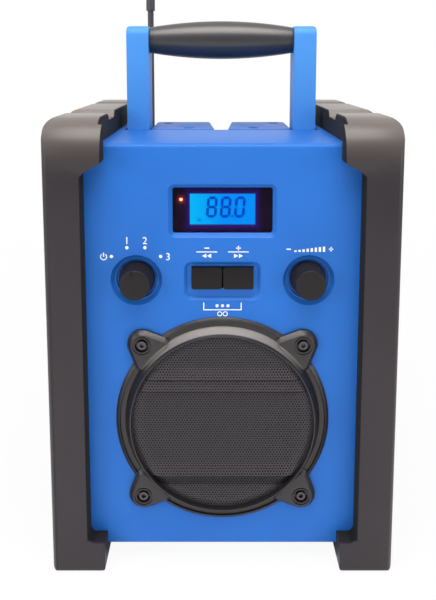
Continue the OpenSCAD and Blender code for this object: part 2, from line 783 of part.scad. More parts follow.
module armor_half() difference() {
    intersection() {
        union() {
            slab(front_y, back_y) polygon(rounded([[runner_x, foot_proud, armor_toe_r],
                [armor_x, foot_proud, armor_heel_r], [armor_x, armor_h, shoulder_r],
                [rail_x, armor_h, armor_ear_r], [rail_x, deck_z + fit_gap, 0],
                [shell_x + fit_gap, deck_z + fit_gap, 0], [shell_x + fit_gap, runner_h, 0],
                [runner_x, runner_h, 0]]));
            for (y = [[front_y, face_y - fit_gap], [rear_y + fit_gap, back_y]])
                slab(y[0], y[1]) polygon(rounded([[runner_x, foot_proud, armor_toe_r],
                    [armor_x, foot_proud, armor_heel_r], [armor_x, armor_h, shoulder_r],
                    [ear_x, armor_h, armor_ear_r], [ear_x, ear_z, armor_ear_r],
                    [strip_x, ear_z - ear_slope_h, armor_strip_r],
                    [strip_x, runner_h, armor_crook_r], [runner_x, runner_h, armor_toe_r]]));
        }
        bar(0, armor_x + over) polygon(rounded([[front_y, foot_proud - over, armor_strip_r],
            [back_y, foot_proud - over, armor_strip_r], [back_y, armor_h, rear_brow_r],
            [front_y, armor_h, brow_r]], 10));
        linear_extrude(armor_h + over) polygon(rounded([[0, front_y, 0],
            [armor_x, front_y, edge_r], [armor_x, back_y, edge_r], [0, back_y, 0]]));
    }
    armor_groove(front_groove_y, front_groove_w);
    armor_groove(rear_groove_y, rear_groove_w);
    armor_screw_places(armor_screw_ys) {
        pin_x(armor_screw_r + run_gap, shell_x - over, armor_x + over);
        pin_x(armor_head_r + run_gap, armor_seat_x, armor_x + over);
    }
    foot_places() cylinder(r = foot_r, h = foot_t);
}

module left_armor() color("dimgray") mirror([1, 0, 0]) armor_half();
module right_armor() color("dimgray") armor_half();

module armor_screws() color("silver") both_sides() armor_screw_places(armor_screw_ys)
    difference() {
        union() {
            pin_x(armor_screw_r, armor_boss_x + boss_floor + tip_gap, armor_seat_x);
            pin_x(armor_head_r, armor_seat_x, armor_seat_x + armor_head_t);
        }
        translate([armor_seat_x + armor_head_t, 0, 0]) rotate([0, 90, 0])
            hex_recess(armor_hex_r, armor_hex_depth);
    }

module rubber_feet() color("black") both_sides() foot_places() cylinder(r = foot_r, h = foot_t);

module case_screws() color("silver") case_screw_places() difference() {
    union() {
        pin_y(case_screw_r, seam_y + case_seat - case_screw_l, seam_y + case_seat);
        pin_y(case_head_r, seam_y + case_seat, seam_y + case_seat + case_head_t);
    }
    translate([0, seam_y + case_seat + case_head_t, 0]) rotate([-90, 0, 0])
        cross_recess(case_cross_l);
}

// Handle and what carries it
module bracket_half() difference() {
    translate([0, 0, well_z]) linear_extrude(bracket_h) polygon(rounded([
        [bracket_in_x, bracket_y, bracket_front_r], [bracket_out_x, bracket_y, bracket_front_r],
        [bracket_out_x, bracket_y + bracket_d, bracket_corner_r],
        [bracket_in_x + bracket_taper, bracket_y + bracket_d, bracket_corner_r]]));
    translate([0, pivot_y, pivot_z]) pin_x(pivot_r, bracket_out_x - pin_bite, bracket_out_x + over);
    for (p = bracket_screws_at) translate([p.x, p.y, well_z]) {
        translate([0, 0, -over]) cylinder(r = bracket_screw_r + run_gap, h = bracket_h);
        translate([0, 0, bracket_floor_t]) cylinder(r = bracket_bore_r, h = bracket_h);
    }
}
module left_bracket() color("royalblue") mirror([1, 0, 0]) bracket_half();
module right_bracket() color("royalblue") bracket_half();

module bracket_screws() color("silver") bracket_screw_places() difference() {
    union() {
        translate([0, 0, tip_gap - bracket_bore_l])
            cylinder(r = bracket_screw_r, h = bracket_floor_t + bracket_bore_l - tip_gap);
        translate([0, 0, bracket_floor_t]) cylinder(r = bracket_head_r, h = bracket_head_t);
    }
    translate([0, 0, bracket_floor_t + bracket_head_t]) cross_recess(bracket_cross_l);
}

module arm_half() difference() {
    intersection() {
        bar(arm_in_x, handle_w / 2) polygon(rounded([
            [pivot_y - arm_d / 2, pivot_z - arm_d / 2, arm_d / 2 - slice],
            [pivot_y + arm_d / 2, pivot_z - arm_d / 2, arm_d / 2 - slice],
            [pivot_y + arm_d / 2, handle_top_z, arm_top_r],
            [pivot_y - arm_d / 2, handle_top_z, arm_top_r]], 10));
        slab(front_y, back_y) polygon(rounded([[arm_in_x, pivot_z - arm_d, 0],
            [handle_w / 2, pivot_z - arm_d, 0], [handle_w / 2, handle_top_z, arm_edge_r],
            [arm_in_x, handle_top_z, arm_inner_r]]));
    }
    translate([0, pivot_y, pivot_z]) pin_x(pivot_r + run_gap, arm_in_x - over, handle_w / 2 + over);
    translate([0, pivot_y, grip_z]) {
        pin_x(rod_r + run_gap, arm_in_x - over, arm_in_x + rod_bite);
        pin_x(handle_screw_r + run_gap, arm_in_x, handle_w / 2 + over);
        pin_x(handle_head_r + run_gap, handle_w / 2 - handle_head_t, handle_w / 2 + over);
    }
}
module left_handle_arm() color("cornflowerblue") mirror([1, 0, 0]) arm_half();
module right_handle_arm() color("cornflowerblue") arm_half();

module handle_rod() color("silver") translate([0, pivot_y, grip_z]) difference() {
    pin_x(rod_r, -arm_in_x - rod_bite, arm_in_x + rod_bite);
    both_sides() pin_x(handle_screw_r, arm_in_x + rod_bite - handle_screw_bite - tip_gap,
        arm_in_x + rod_bite + over);
}

module handle_grip() color("black") translate([0, pivot_y, grip_z]) rotate([0, 90, 0])
    rotate_extrude() polygon(concat(
        [for (i = [-grip_steps:grip_steps])
            [grip_mid_r - (grip_mid_r - grip_end_r) * pow(i / grip_steps, 2),
                arm_in_x * i / grip_steps]],
        [[rod_r + run_gap, arm_in_x], [rod_r + run_gap, -arm_in_x]]));

module handle_screws() color("silver") both_sides() translate([0, pivot_y, grip_z]) difference() {
    union() {
        pin_x(handle_screw_r, arm_in_x + rod_bite - handle_screw_bite,
            handle_w / 2 - handle_head_t);
        pin_x(handle_head_r, handle_w / 2 - handle_head_t, handle_w / 2);
    }
    translate([handle_w / 2, 0, 0]) rotate([0, 90, 0]) hex_recess(handle_hex_r, handle_hex_depth);
}

module pivot_pins() color("silver") both_sides() translate([0, pivot_y, pivot_z])
    pin_x(pivot_r, bracket_out_x - pin_bite + tip_gap, well_x + pin_bite - boss_floor - tip_gap);

module pivot_washers() color("gray") both_sides() translate([0, pivot_y, pivot_z]) difference() {
    pin_x(pin_boss_r, well_x - washer_t, well_x);
    pin_x(pivot_r, well_x - washer_t - over, well_x + over);
}

// Display
module window_lens() color([0.1, 0.1, 0.14, 0.5]) at_xz(0, display_z) slab(lens_y, lens_y + lens_t)
    square([window_w + 2 * lens_lap, window_h + 2 * lens_lap], center = true);
module display_bezel() color("black") difference() {
    at_xz(0, display_z) slab(bezel_y, bezel_y + bezel_t) difference() {
        square([window_w + 2 * lens_lap, window_h + 2 * lens_lap], center = true);
        square([glass_w, glass_h], center = true);
    }
    at_xz(led_x, led_z) pin_y(led_r + run_gap, bezel_y - over, bezel_y + bezel_t + over);
}
module display_glass() color("deepskyblue") at_xz(0, display_z) slab(glass_y, glass_y + glass_t)
    square([glass_w + 2 * glass_lap, glass_h + 2 * glass_lap], center = true);
module display_backlight() color("white") at_xz(0, display_z) slab(glass_y + glass_t, board_y)
    square([glass_w + 2 * glass_lap, glass_h + 2 * glass_lap], center = true);
module power_led() color("orange") at_xz(led_x, led_z) turned(bezel_y + led_set,
    [[0, 0], [led_r - led_dome, led_dome / 4], [led_r, led_dome],
        [led_r, board_y - bezel_y - led_set], [0, board_y - bezel_y - led_set]]);

// Knobs and their switches
module knob(side) at_xz(side * knob_x, knob_z) difference() {
    turned(knob_front_y, [[0, 0], [knob_front_r - knob_edge, 0], [knob_front_r, knob_edge],
        [knob_base_r, knob_l], [knob_recess_r, knob_l], [knob_recess_r, knob_l - knob_recess],
        [0, knob_l - knob_recess]]);
    pin_y(shaft_r + run_gap, knob_front_y + knob_l - knob_bore_depth, knob_front_y + knob_l + over);
}
module knob_shaft(side) at_xz(side * knob_x, knob_z)
    pin_y(shaft_r, knob_front_y + knob_l - knob_bore_depth + tip_gap,
        board_y - switch_floor_t - tip_gap);
module knob_switch(side) at_xz(side * knob_x, knob_z) difference() {
    union() {
        translate([-switch_w / 2, board_y - switch_t, -switch_w / 2])
            cube([switch_w, switch_t, switch_w]);
        pin_y(bushing_r, face_y + cup_depth + bushing_set, board_y - switch_t);
    }
    pin_y(shaft_r + run_gap, face_y, board_y - switch_floor_t);
}
module mode_knob() color("black") difference() {
    knob(-1);
    at_xz(-knob_x, knob_z) rotate([0, -pointer_turn, 0]) block(-pointer_w / 2, pointer_w / 2,
        knob_front_y - over, knob_front_y + pointer_depth, pointer_in_r, knob_front_r - knob_edge);
}
module mode_shaft() color("silver") knob_shaft(-1);
module mode_switch() color("dimgray") knob_switch(-1);
module volume_knob() color("black") knob(1);
module volume_shaft() color("silver") knob_shaft(1);
module volume_encoder() color("dimgray") knob_switch(1);

// Buttons
module button(side) at_xz(side * button_x, button_z) {
    slab(face_y - button_proud, face_in_y + frame_t + pass_gap)
        polygon(rounded(box_corners(-button_w / 2, button_w / 2, -button_h / 2, button_h / 2,
            button_corner_r)));
    slab(face_in_y + frame_t + pass_gap, face_in_y + frame_t + pass_gap + lip_t)
        translate([side * lip / 2, 0]) square([button_w + lip, button_h + 2 * lip], center = true);
    pin_y(stem_r, face_in_y + frame_t + pass_gap + lip_t, tact_nub_y - button_travel - pass_gap);
}
module back_button() color("black") button(-1);
module next_button() color("black") button(1);
module button_frame() color("black") difference() {
    union() {
        at_xz(0, frame_z) slab(face_y + frame_slope, face_in_y) polygon(rounded(box_corners(
            -frame_rim_w / 2, frame_rim_w / 2, -frame_rim_h / 2, frame_rim_h / 2,
            frame_corner_r)));
        at_xz(0, frame_z) slab(face_in_y, face_in_y + frame_t)
            square([frame_rim_w + 2 * frame_lap, frame_rim_h + 2 * frame_lap], center = true);
    }
    at_xz(0, button_z) slab(face_y, face_in_y + frame_t + over)
        square([2 * button_w + button_gap + 2 * pass_gap, button_h + 2 * pass_gap], center = true);
}
module tact_switches() color("silver") both_sides() at_xz(button_x, button_z) {
    slab(board_y - tact_body_t, board_y) square(tact_w, center = true);
    pin_y(tact_nub_r, tact_nub_y, board_y - tact_body_t);
}

module control_board() color("green") difference() {
    slab(board_y, board_y + board_t) polygon(rounded(box_corners(-control_board_w / 2,
        control_board_w / 2, board_low_z, board_high_z, board_corner_r)));
    for (p = board_posts) at_xz(p.x, p.y)
        pin_y(post_screw_r + run_gap, board_y - over, board_y + board_t + over);
}
module board_screws() color("silver") {
    for (p = board_posts) at_xz(p.x, p.y) {
        pin_y(post_screw_r, board_y - post_bore_l + tip_gap, board_y + board_t);
        pin_y(post_head_r, board_y + board_t, board_y + board_t + post_head_t);
    }
    main_board_corners() {
        pin_y(post_screw_r, main_board_y, main_board_y + board_t + post_bore_l - tip_gap);
        pin_y(post_head_r, main_board_y - post_head_t, main_board_y);
    }
}

// Speaker
module lug_stud(r) turned(face_y,
    [[0, 0], [r, 0], [r, lug_bevel - lug_h], [r - lug_bevel, -lug_h], [0, -lug_h]], $fn = 32);
module speaker_ring() color("black") difference() {
    union() {
        at_xz(0, speaker_z) turned(face_y, [[ring_seat_r, 0], [ring_r, 0],
            [ring_r, -rim_low_h], [ring_r - rim_bevel, -rim_h],
            [ring_r - rim_w, -rim_groove_h], [ring_r - rim_w - rim_groove_w, -rim_groove_h],
            [ring_open_r + lip_w + lip_bevel, lip_bevel_h - ring_h],
            [ring_open_r + lip_w, -ring_h], [ring_open_r, -ring_h],
            [ring_open_r - lip_bevel, -ring_seat_t], [ring_seat_r, -ring_seat_t]]);
        lug_places() hull() {
            translate([lug_reach, 0, 0]) lug_stud(lug_r);
            for (z = [-1, 1]) translate([ring_r - rim_w - rim_groove_w, 0, z * lug_root_w])
                lug_stud(lug_root_r);
        }
    }
    at_xz(0, speaker_z) pin_y(ring_seat_r, face_y - ring_seat_t, face_y + over);
    at_xz(0, speaker_z) pin_y(ring_open_r, face_y - ring_h - over, face_y - gasket_t);
    lug_places() translate([lug_reach, 0, 0]) {
        difference() {
            pin_y(lug_bore_r + lug_groove_gap + lug_groove_w, face_y - lug_h - over,
                face_y - lug_h + lug_groove_depth);
            pin_y(lug_bore_r + lug_groove_gap, face_y - lug_h - 2 * over, face_y);
        }
        pin_y(lug_bore_r, face_y - lug_h - over, face_y - lug_h + lug_bore_depth);
        pin_y(ring_screw_r + run_gap, face_y - lug_h, face_y + over);
    }
}
module ring_screws() color("silver") lug_places() translate([lug_reach, 0, 0]) difference() {
    union() {
        pin_y(ring_head_r, face_y - lug_h + lug_bore_depth - ring_head_t,
            face_y - lug_h + lug_bore_depth);
        pin_y(ring_screw_r, face_y - lug_h + lug_bore_depth,
            face_in_y + ring_boss_l - boss_floor - tip_gap);
    }
    translate([0, face_y - lug_h + lug_bore_depth - ring_head_t, 0]) rotate([90, 0, 0])
        hex_recess(ring_hex_r, ring_hex_depth);
}
module speaker_grille() color("gray") at_xz(0, speaker_z) {
    turned(grille_y, [[0, -dome_h], [dome_r, -dome_h], [dome_foot_r, 0], [grille_r, 0],
        [grille_r, grille_t], [dome_foot_r - grille_t, grille_t],
        [dome_r - grille_t, grille_t - dome_h], [0, grille_t - dome_h]]);
    for (rib = [upper_rib, lower_rib]) intersection() {
        pin_y(dome_r, grille_y - dome_h - rib_h, grille_y - dome_h + grille_t);
        bar(-dome_r, dome_r) polygon(concat(
            [for (p = rib) [grille_y - dome_h - p[1], p[0]]],
            [for (e = [rib[len(rib) - 1], rib[0]]) [grille_y - dome_h + grille_t / 2, e[0]]]));
    }
}
module grille_gasket() color("black") at_xz(0, speaker_z) turned(face_y - gasket_t,
    [[driver_hole_r, 0], [grille_r, 0], [grille_r, gasket_t], [driver_hole_r, gasket_t]]);
module driver_screw_places() for (a = [0, 90, 180, 270]) at_xz(0, speaker_z) rotate([0, a, 0])
    translate([driver_screw_pcd_r, 0, 0]) children();
module speaker_basket() color("dimgray") difference() {
    at_xz(0, speaker_z) turned(driver_y, [[cone_r + surround_w, 0], [driver_r, 0],
        [driver_r, driver_flange_t], [cone_r + surround_w + basket_wall, driver_flange_t],
        [magnet_r - basket_wall, basket_d], [voice_r + 2 * basket_wall, basket_d],
        [voice_r + 2 * basket_wall, basket_d - basket_wall],
        [magnet_r - 2 * basket_wall, basket_d - basket_wall],
        [cone_r + surround_w, driver_flange_t + basket_wall / 4]]);
    driver_screw_places()
        pin_y(driver_screw_r + run_gap, driver_y - over, driver_y + driver_flange_t + over);
}
module driver_screws() color("silver") driver_screw_places() {
    pin_y(driver_screw_r, driver_y - driver_bore_l + tip_gap, driver_y + driver_flange_t);
    pin_y(driver_head_r, driver_y + driver_flange_t, driver_y + driver_flange_t + driver_head_t);
}
module speaker_magnet() color("gray") at_xz(0, speaker_z) turned(driver_y + basket_d,
    [[0, 0], [voice_r - voice_gap, 0], [voice_r - voice_gap, voice_depth],
        [voice_r + voice_gap, voice_depth], [voice_r + voice_gap, 0],
        [magnet_r, 0], [magnet_r, magnet_t], [0, magnet_t]]);
// Roll of the surround: its inner foot, its crown and its outer foot, as [radius, depth]
module speaker_surround() color("black") at_xz(0, speaker_z) turned(driver_y, [
    [cone_r, cone_t], [cone_r + surround_w * 0.18, cone_t / 2],
    [cone_r + surround_w * 0.36, -2 * cone_t], [cone_r + surround_w * 0.64, -2 * cone_t],
    [cone_r + surround_w * 0.84, cone_t / 2], [cone_r + surround_w - run_gap, cone_t / 2],
    [cone_r + surround_w - run_gap, 1.5 * cone_t], [cone_r + surround_w * 0.73, 1.5 * cone_t],
    [cone_r + surround_w * 0.58, -cone_t], [cone_r + surround_w * 0.42, -cone_t],
    [cone_r + surround_w * 0.29, 1.5 * cone_t], [cone_r, 2 * cone_t]]);
module speaker_cone() color("black") at_xz(0, speaker_z) turned(driver_y, [[cone_r, cone_t],
    [cone_r, 2 * cone_t], [voice_r, basket_d + voice_depth / 2 - cone_neck_l + cone_t],
    [voice_r, basket_d + voice_depth / 2], [voice_r - cone_t, basket_d + voice_depth / 2],
    [voice_r - cone_t, basket_d + voice_depth / 2 - cone_neck_l]]);
module dust_cap() color("black") at_xz(0, speaker_z)
    turned(driver_y + basket_d + voice_depth / 2 - cone_neck_l, concat(
        [for (a = [0:15:75]) [(voice_r - cone_t) * cos(a), -cap_rise * sin(a)]], [[0, -cap_rise],
            [0, cap_t - cap_rise]],
        [for (a = [75:-15:0]) [(voice_r - cone_t - cap_t) * cos(a), (cap_t - cap_rise) * sin(a)]]));

// Electronics
module main_board() color("green") difference() {
    at_xz(main_board_x, main_board_z) slab(main_board_y, main_board_y + board_t)
        square([main_board_w, main_board_h], center = true);
    main_board_corners() pin_y(post_screw_r + run_gap, main_board_y - over,
        main_board_y + board_t + over);
}
module heat_sink() color("gray") at_xz(main_board_x + sink_at.x, main_board_z + sink_at.y) {
    sink_y = main_board_y - sink_base_t;
    block(-sink_w / 2, sink_w / 2, sink_y, main_board_y, -sink_w / 2, sink_w / 2);
    for (i = [0:sink_fins - 1])
        let (x = (sink_w - sink_fin_t) * (i / (sink_fins - 1) - 0.5))
        block(x - sink_fin_t / 2, x + sink_fin_t / 2, sink_y - sink_fin_h, sink_y,
            -sink_w / 2, sink_w / 2);
}
module board_parts() color("silver") {
    for (i = [0:2]) at_xz(main_board_x + capacitor_at.x,
        main_board_z + capacitor_at.y + capacitor_pitch * i)
        pin_y(capacitor_r, main_board_y - capacitor_l, main_board_y);
    at_xz(main_board_x + tuner_at.x, main_board_z + tuner_at.y)
        block(-tuner_w / 2, tuner_w / 2, main_board_y - tuner_t, main_board_y,
            -tuner_h / 2, tuner_h / 2);
}

// Hinged flap in its own frame: the hinge lies on X and the flap rises from it
module flap(half_w, l) difference() {
    union() {
        block(-half_w, half_w, rear_y - hinge_y - door_t, rear_y - hinge_y, 0, l);
        pin_x(hinge_r, -half_w, half_w);
    }
    pin_x(hinge_pin_r + run_gap, -half_w - over, half_w + over);
}
module socket_hinge() translate([pocket_x + pocket_w / 2 - hinge_up, hinge_y, pocket_z])
    rotate([0, -90, 0]) children();

module hinge_pins() color("silver") {
    bay_reach = bay_w / 2 + bay_wall + hinge_lug_l - over;
    pocket_reach = pocket_h / 2 + pocket_wall + hinge_lug_l - over;
    translate([0, hinge_y, bay_z + hinge_up]) pin_x(hinge_pin_r, -bay_reach, bay_reach);
    socket_hinge() pin_x(hinge_pin_r, -pocket_reach, pocket_reach);
}

// Sockets
module socket_housing() color("dimgray") difference() {
    at_xz(pocket_x, pocket_z) block(-pocket_w / 2 - pocket_wall, pocket_w / 2 + pocket_wall,
        pocket_floor_y - pocket_wall, rear_in_y, -pocket_h / 2 - pocket_wall,
        pocket_h / 2 + pocket_wall);
    at_xz(pocket_x, pocket_z) block(-pocket_w / 2, pocket_w / 2, pocket_floor_y, rear_in_y + over,
        -pocket_h / 2, pocket_h / 2);
    for (socket = [[-signal_side, signal_body_w], [power_side, power_body_w]])
        at_xz(pocket_x + socket[0], pocket_z)
            pin_y(socket[1] / 2, pocket_floor_y - 2 * pocket_wall, pocket_floor_y + over);
    socket_hinge() pin_x(hinge_pin_r + run_gap, -pocket_h, pocket_h);
}
module socket_body(w, bore_r) difference() {
    union() {
        pin_y(w / 2 - run_gap, pocket_floor_y - pocket_wall, pocket_floor_y);
        block(-w / 2, w / 2, pocket_floor_y - pocket_wall - socket_body_l,
            pocket_floor_y - pocket_wall, -w / 2, w / 2);
    }
    pin_y(bore_r, pocket_floor_y - socket_body_l, pocket_floor_y + over);
}
module signal_socket() color("black") at_xz(pocket_x - signal_side, pocket_z)
    socket_body(signal_body_w, signal_bore_r);
module power_socket() color("black") at_xz(pocket_x + power_side, pocket_z) {
    socket_body(power_body_w, power_bore_r);
    pin_y(power_pin_r, pocket_floor_y - socket_body_l - over / 2, pocket_floor_y - power_pin_set);
}
module socket_cover() color("dimgray") socket_hinge()
    flap(pocket_h / 2 - flap_side_gap, pocket_w - hinge_up - flap_side_gap);

// Battery bay
module battery_box() color("dimgray") difference() {
    block(-bay_w / 2 - bay_wall, bay_w / 2 + bay_wall, bay_y - bay_wall, rear_in_y,
        bay_z - bay_wall, bay_top_z + bay_wall);
    block(-bay_w / 2, bay_w / 2, bay_y, rear_in_y + over, bay_z, bay_top_z);
    translate([0, hinge_y, bay_z + hinge_up]) pin_x(hinge_pin_r + run_gap, -bay_w, bay_w);
}
module battery_cells() color("goldenrod") for (row = [0, 1]) mirror([row, 0, 0])
    translate([-bay_w / 2 + contact_t + cell_nub_l, cell_y, row_zs[row]]) for (i = [0, 1])
        translate([i * (cell_l + cell_gap), 0, 0]) {
            pin_x(cell_r, cell_nub_l, cell_l);
            pin_x(cell_nub_r, 0, cell_nub_l);
        }
module contact_plate(x0, x1)
    block(x0, x1, -contact_half, contact_half, -contact_half, contact_half);
module battery_springs() color("silver") for (row = [0, 1]) mirror([row, 0, 0]) {
    translate([-bay_w / 2, cell_y, row_zs[row]]) contact_plate(0, contact_t);
    translate([bay_w / 2, cell_y, row_zs[row]]) {
        contact_plate(-contact_t, 0);
        translate([-contact_t, 0, 0]) mirror([1, 0, 0])
            wire(spring_path(spring_room - spring_wire_r - pass_gap), spring_wire_r);
    }
}
module battery_door() color("dimgray") difference() {
    union() {
        translate([0, hinge_y, bay_z + hinge_up])
            flap(bay_w / 2 - flap_side_gap, bay_h - hinge_up - flap_side_gap);
        block(-tab_w / 2, tab_w / 2, rear_y - tab_t, rear_y, bay_top_z - tab_lap,
            bay_top_z + tab_h);
    }
    at_xz(0, bay_top_z + lock_up) pin_y(lock_r + run_gap, rear_y - tab_t - over, rear_y + over);
}
module door_lock() color("silver") at_xz(0, bay_top_z + lock_up) difference() {
    union() {
        pin_y(lock_r, rear_y - lock_l + 2 * tip_gap, rear_y + run_gap);
        pin_y(lock_head_r, rear_y + run_gap, rear_y + lock_head_t);
    }
    block(-lock_head_r - over, lock_head_r + over, rear_y + lock_head_t - lock_slot_depth,
        rear_y + lock_head_t + over, -lock_slot_w / 2, lock_slot_w / 2);
}

// Antenna
module antenna_base() color("black") {
    antenna_peg_places() pin_y(clevis_peg_r, rear_in_y - pass_gap, rear_y);
    translate([-antenna_x, 0, antenna_pivot_z]) {
        block(-knuckle_w / 2 - clevis_wall, knuckle_w / 2 + clevis_wall, rear_y,
            rear_y + clevis_plate_t, -clevis_h / 2, clevis_h / 2);
        both_sides() bar(knuckle_w / 2 + clevis_gap, knuckle_w / 2 + clevis_wall)
            polygon(rounded([[rear_y, -clevis_h / 2, 0],
                [antenna_y + knuckle_r, -knuckle_r, clevis_nose_r],
                [antenna_y + knuckle_r, knuckle_r, clevis_nose_r], [rear_y, clevis_h / 2, 0]]));
        translate([0, antenna_y, 0]) pin_x(antenna_pin_r, -knuckle_w / 2 - clevis_wall,
            knuckle_w / 2 + clevis_wall);
    }
}
module antenna_rod() color("black") translate([-antenna_x, antenna_y, antenna_pivot_z])
    difference() {
        union() {
            pin_x(knuckle_r, -knuckle_w / 2, knuckle_w / 2);
            cylinder(r = antenna_r, h = antenna_top_z - antenna_tip_l - antenna_pivot_z);
            translate([0, 0, antenna_top_z - antenna_tip_l - antenna_pivot_z])
                cylinder(r = antenna_tip_r, h = antenna_tip_l);
            cylinder(r = antenna_r + antenna_collar_t, h = antenna_collar_l);
        }
        pin_x(antenna_pin_r + run_gap, -knuckle_w, knuckle_w);
    }

front_shell();
rear_shell();
shell_seal();
left_armor();
right_armor();
armor_screws();
rubber_feet();
case_screws();
left_bracket();
right_bracket();
bracket_screws();
left_handle_arm();
right_handle_arm();
handle_rod();
handle_grip();
handle_screws();
pivot_pins();
pivot_washers();
window_lens();
display_bezel();
display_glass();
display_backlight();
power_led();
mode_knob();
mode_shaft();
mode_switch();
volume_knob();
volume_shaft();
volume_encoder();
back_button();
next_button();
button_frame();
tact_switches();
control_board();
board_screws();
speaker_ring();
ring_screws();
speaker_grille();
grille_gasket();
speaker_basket();
speaker_magnet();
speaker_cone();
speaker_surround();
dust_cap();
driver_screws();
main_board();
heat_sink();
board_parts();
hinge_pins();
socket_housing();
signal_socket();
power_socket();
socket_cover();
battery_box();
battery_cells();
battery_springs();
battery_door();
door_lock();
antenna_base();
antenna_rod();
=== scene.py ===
"""Jobsite radio: the finish of every piece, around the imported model."""

import math

import bmesh
import bpy
from mathutils import Matrix, Vector


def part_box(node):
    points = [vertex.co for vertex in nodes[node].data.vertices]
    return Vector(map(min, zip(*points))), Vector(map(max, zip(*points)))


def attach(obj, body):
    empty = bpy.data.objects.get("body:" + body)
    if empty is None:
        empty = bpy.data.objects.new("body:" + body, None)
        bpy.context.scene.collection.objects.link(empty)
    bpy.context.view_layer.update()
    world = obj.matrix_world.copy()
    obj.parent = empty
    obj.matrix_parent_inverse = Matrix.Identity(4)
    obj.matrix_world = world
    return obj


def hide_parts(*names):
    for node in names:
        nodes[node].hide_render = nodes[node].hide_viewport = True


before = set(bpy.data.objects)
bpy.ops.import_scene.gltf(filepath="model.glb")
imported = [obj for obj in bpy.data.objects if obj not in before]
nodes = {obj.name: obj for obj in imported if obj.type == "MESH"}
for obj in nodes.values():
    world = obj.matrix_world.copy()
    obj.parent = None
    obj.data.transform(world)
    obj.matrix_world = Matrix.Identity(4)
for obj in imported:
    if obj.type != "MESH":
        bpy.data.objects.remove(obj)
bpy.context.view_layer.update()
scene = bpy.context.scene
scene.view_settings.view_transform = "Standard"
MM = 0.001


# ---------------------------------------------------------------- camera
# A short lens close to the radio, level with the handle, looking slightly down. Part of the
# downward look is lens shift, as on a view camera, so that the upright edges stay nearly parallel.
# Focal length and shift are in pixels of a frame that is 600 high.
FRAME_H = 600
SENSOR_MM = 36
FOCAL_PX = 641
CAMERA_AT = Vector((-4.9, -474.5, 321.4)) * MM
CAMERA_PITCH = math.radians(6.5)
SHIFT_X_PX, SHIFT_Y_PX = -3.4, -165.0

camera_data = bpy.data.cameras.new("camera")
camera_data.sensor_width = SENSOR_MM
camera_data.lens = FOCAL_PX / FRAME_H * SENSOR_MM
camera_data.shift_x = -SHIFT_X_PX / FRAME_H
camera_data.shift_y = SHIFT_Y_PX / FRAME_H
camera = bpy.data.objects.new("camera", camera_data)
camera.location = CAMERA_AT
camera.rotation_euler = (math.pi / 2 - CAMERA_PITCH, 0, 0)
scene.collection.objects.link(camera)
scene.camera = camera


# ---------------------------------------------------------------- light and floor
# A pale table top that runs to the horizon, a soft lamp on the left, a weaker one on the right
# and a wide, warmer one overhead, as in a small product studio.
class Link:
    """One shader socket, so that sums on patterns are written as plain expressions."""

    def __init__(self, socket):
        self.socket = socket

    def combine(self, operation, other, flipped=False):
        pair = (other, self) if flipped else (self, other)
        settings = {"operation": operation}
        return add_node(self.socket.id_data, "ShaderNodeMath", settings, {0: pair[0], 1: pair[1]})

    def __add__(self, other):
        return self.combine("ADD", other)

    def __sub__(self, other):
        return self.combine("SUBTRACT", other)

    def __rsub__(self, other):
        return self.combine("SUBTRACT", other, flipped=True)

    def __mul__(self, other):
        return self.combine("MULTIPLY", other)

    __radd__ = __add__
    __rmul__ = __mul__

    def clipped(self, low, high):
        settings = {"clamp": True}
        return add_node(self.socket.id_data, "ShaderNodeMapRange", settings,
                        {"Value": self, "From Min": low, "From Max": high})


def add_node(tree, kind, settings, values, output=0):
    """Adds a node: its settings first, with a ramp's stops from low to high, then its sockets."""
    node = tree.nodes.new(kind)
    for name, value in settings.items():
        if name == "stops":
            for index, (place, colour) in enumerate(value):
                if index > 1:
                    node.color_ramp.elements.new(place)
                node.color_ramp.elements[index].position = place
                node.color_ramp.elements[index].color = colour
        else:
            setattr(node, name, value)
    for name, value in values.items():
        if isinstance(value, Link):
            tree.links.new(value.socket, node.inputs[name])
        else:
            node.inputs[name].default_value = value
    return Link(node.outputs[output])


def linear(red, green, blue):
    """A colour given as it looks on a screen, 0 to 255, as the shader's own values."""
    shares = [value / 255 for value in (red, green, blue)]
    return tuple(s / 12.92 if s < 0.04045 else ((s + 0.055) / 1.055) ** 2.4 for s in shares) + (1,)


FLOOR_HALF = 6.0
FLOOR_COLOUR = linear(250, 250, 250)
FLOOR_ROUGHNESS = 0.9
BACKDROP_COLOUR = linear(255, 255, 255)
# How much of the floor shows as plain paper near the radio, and where it becomes all paper
FLOOR_PAPER = 0.93
PAPER_FROM, PAPER_TO = 0.3, 0.9
# Light from all round, and what gloss mirrors from low in front to high behind
AMBIENT = 0.42
MIRRORED_LOW, MIRRORED_HIGH = 0.35, 1.0
UP_AND_BEHIND = (0, 0.6, 0.8)
LOW_IN_FRONT, HIGH_BEHIND = -0.2, 0.5

floor_mesh = bmesh.new()
bmesh.ops.create_grid(floor_mesh, x_segments=1, y_segments=1, size=FLOOR_HALF)
floor_data = bpy.data.meshes.new("floor")
floor_mesh.to_mesh(floor_data)
floor_mesh.free()
floor = bpy.data.objects.new("floor", floor_data)
scene.collection.objects.link(floor)

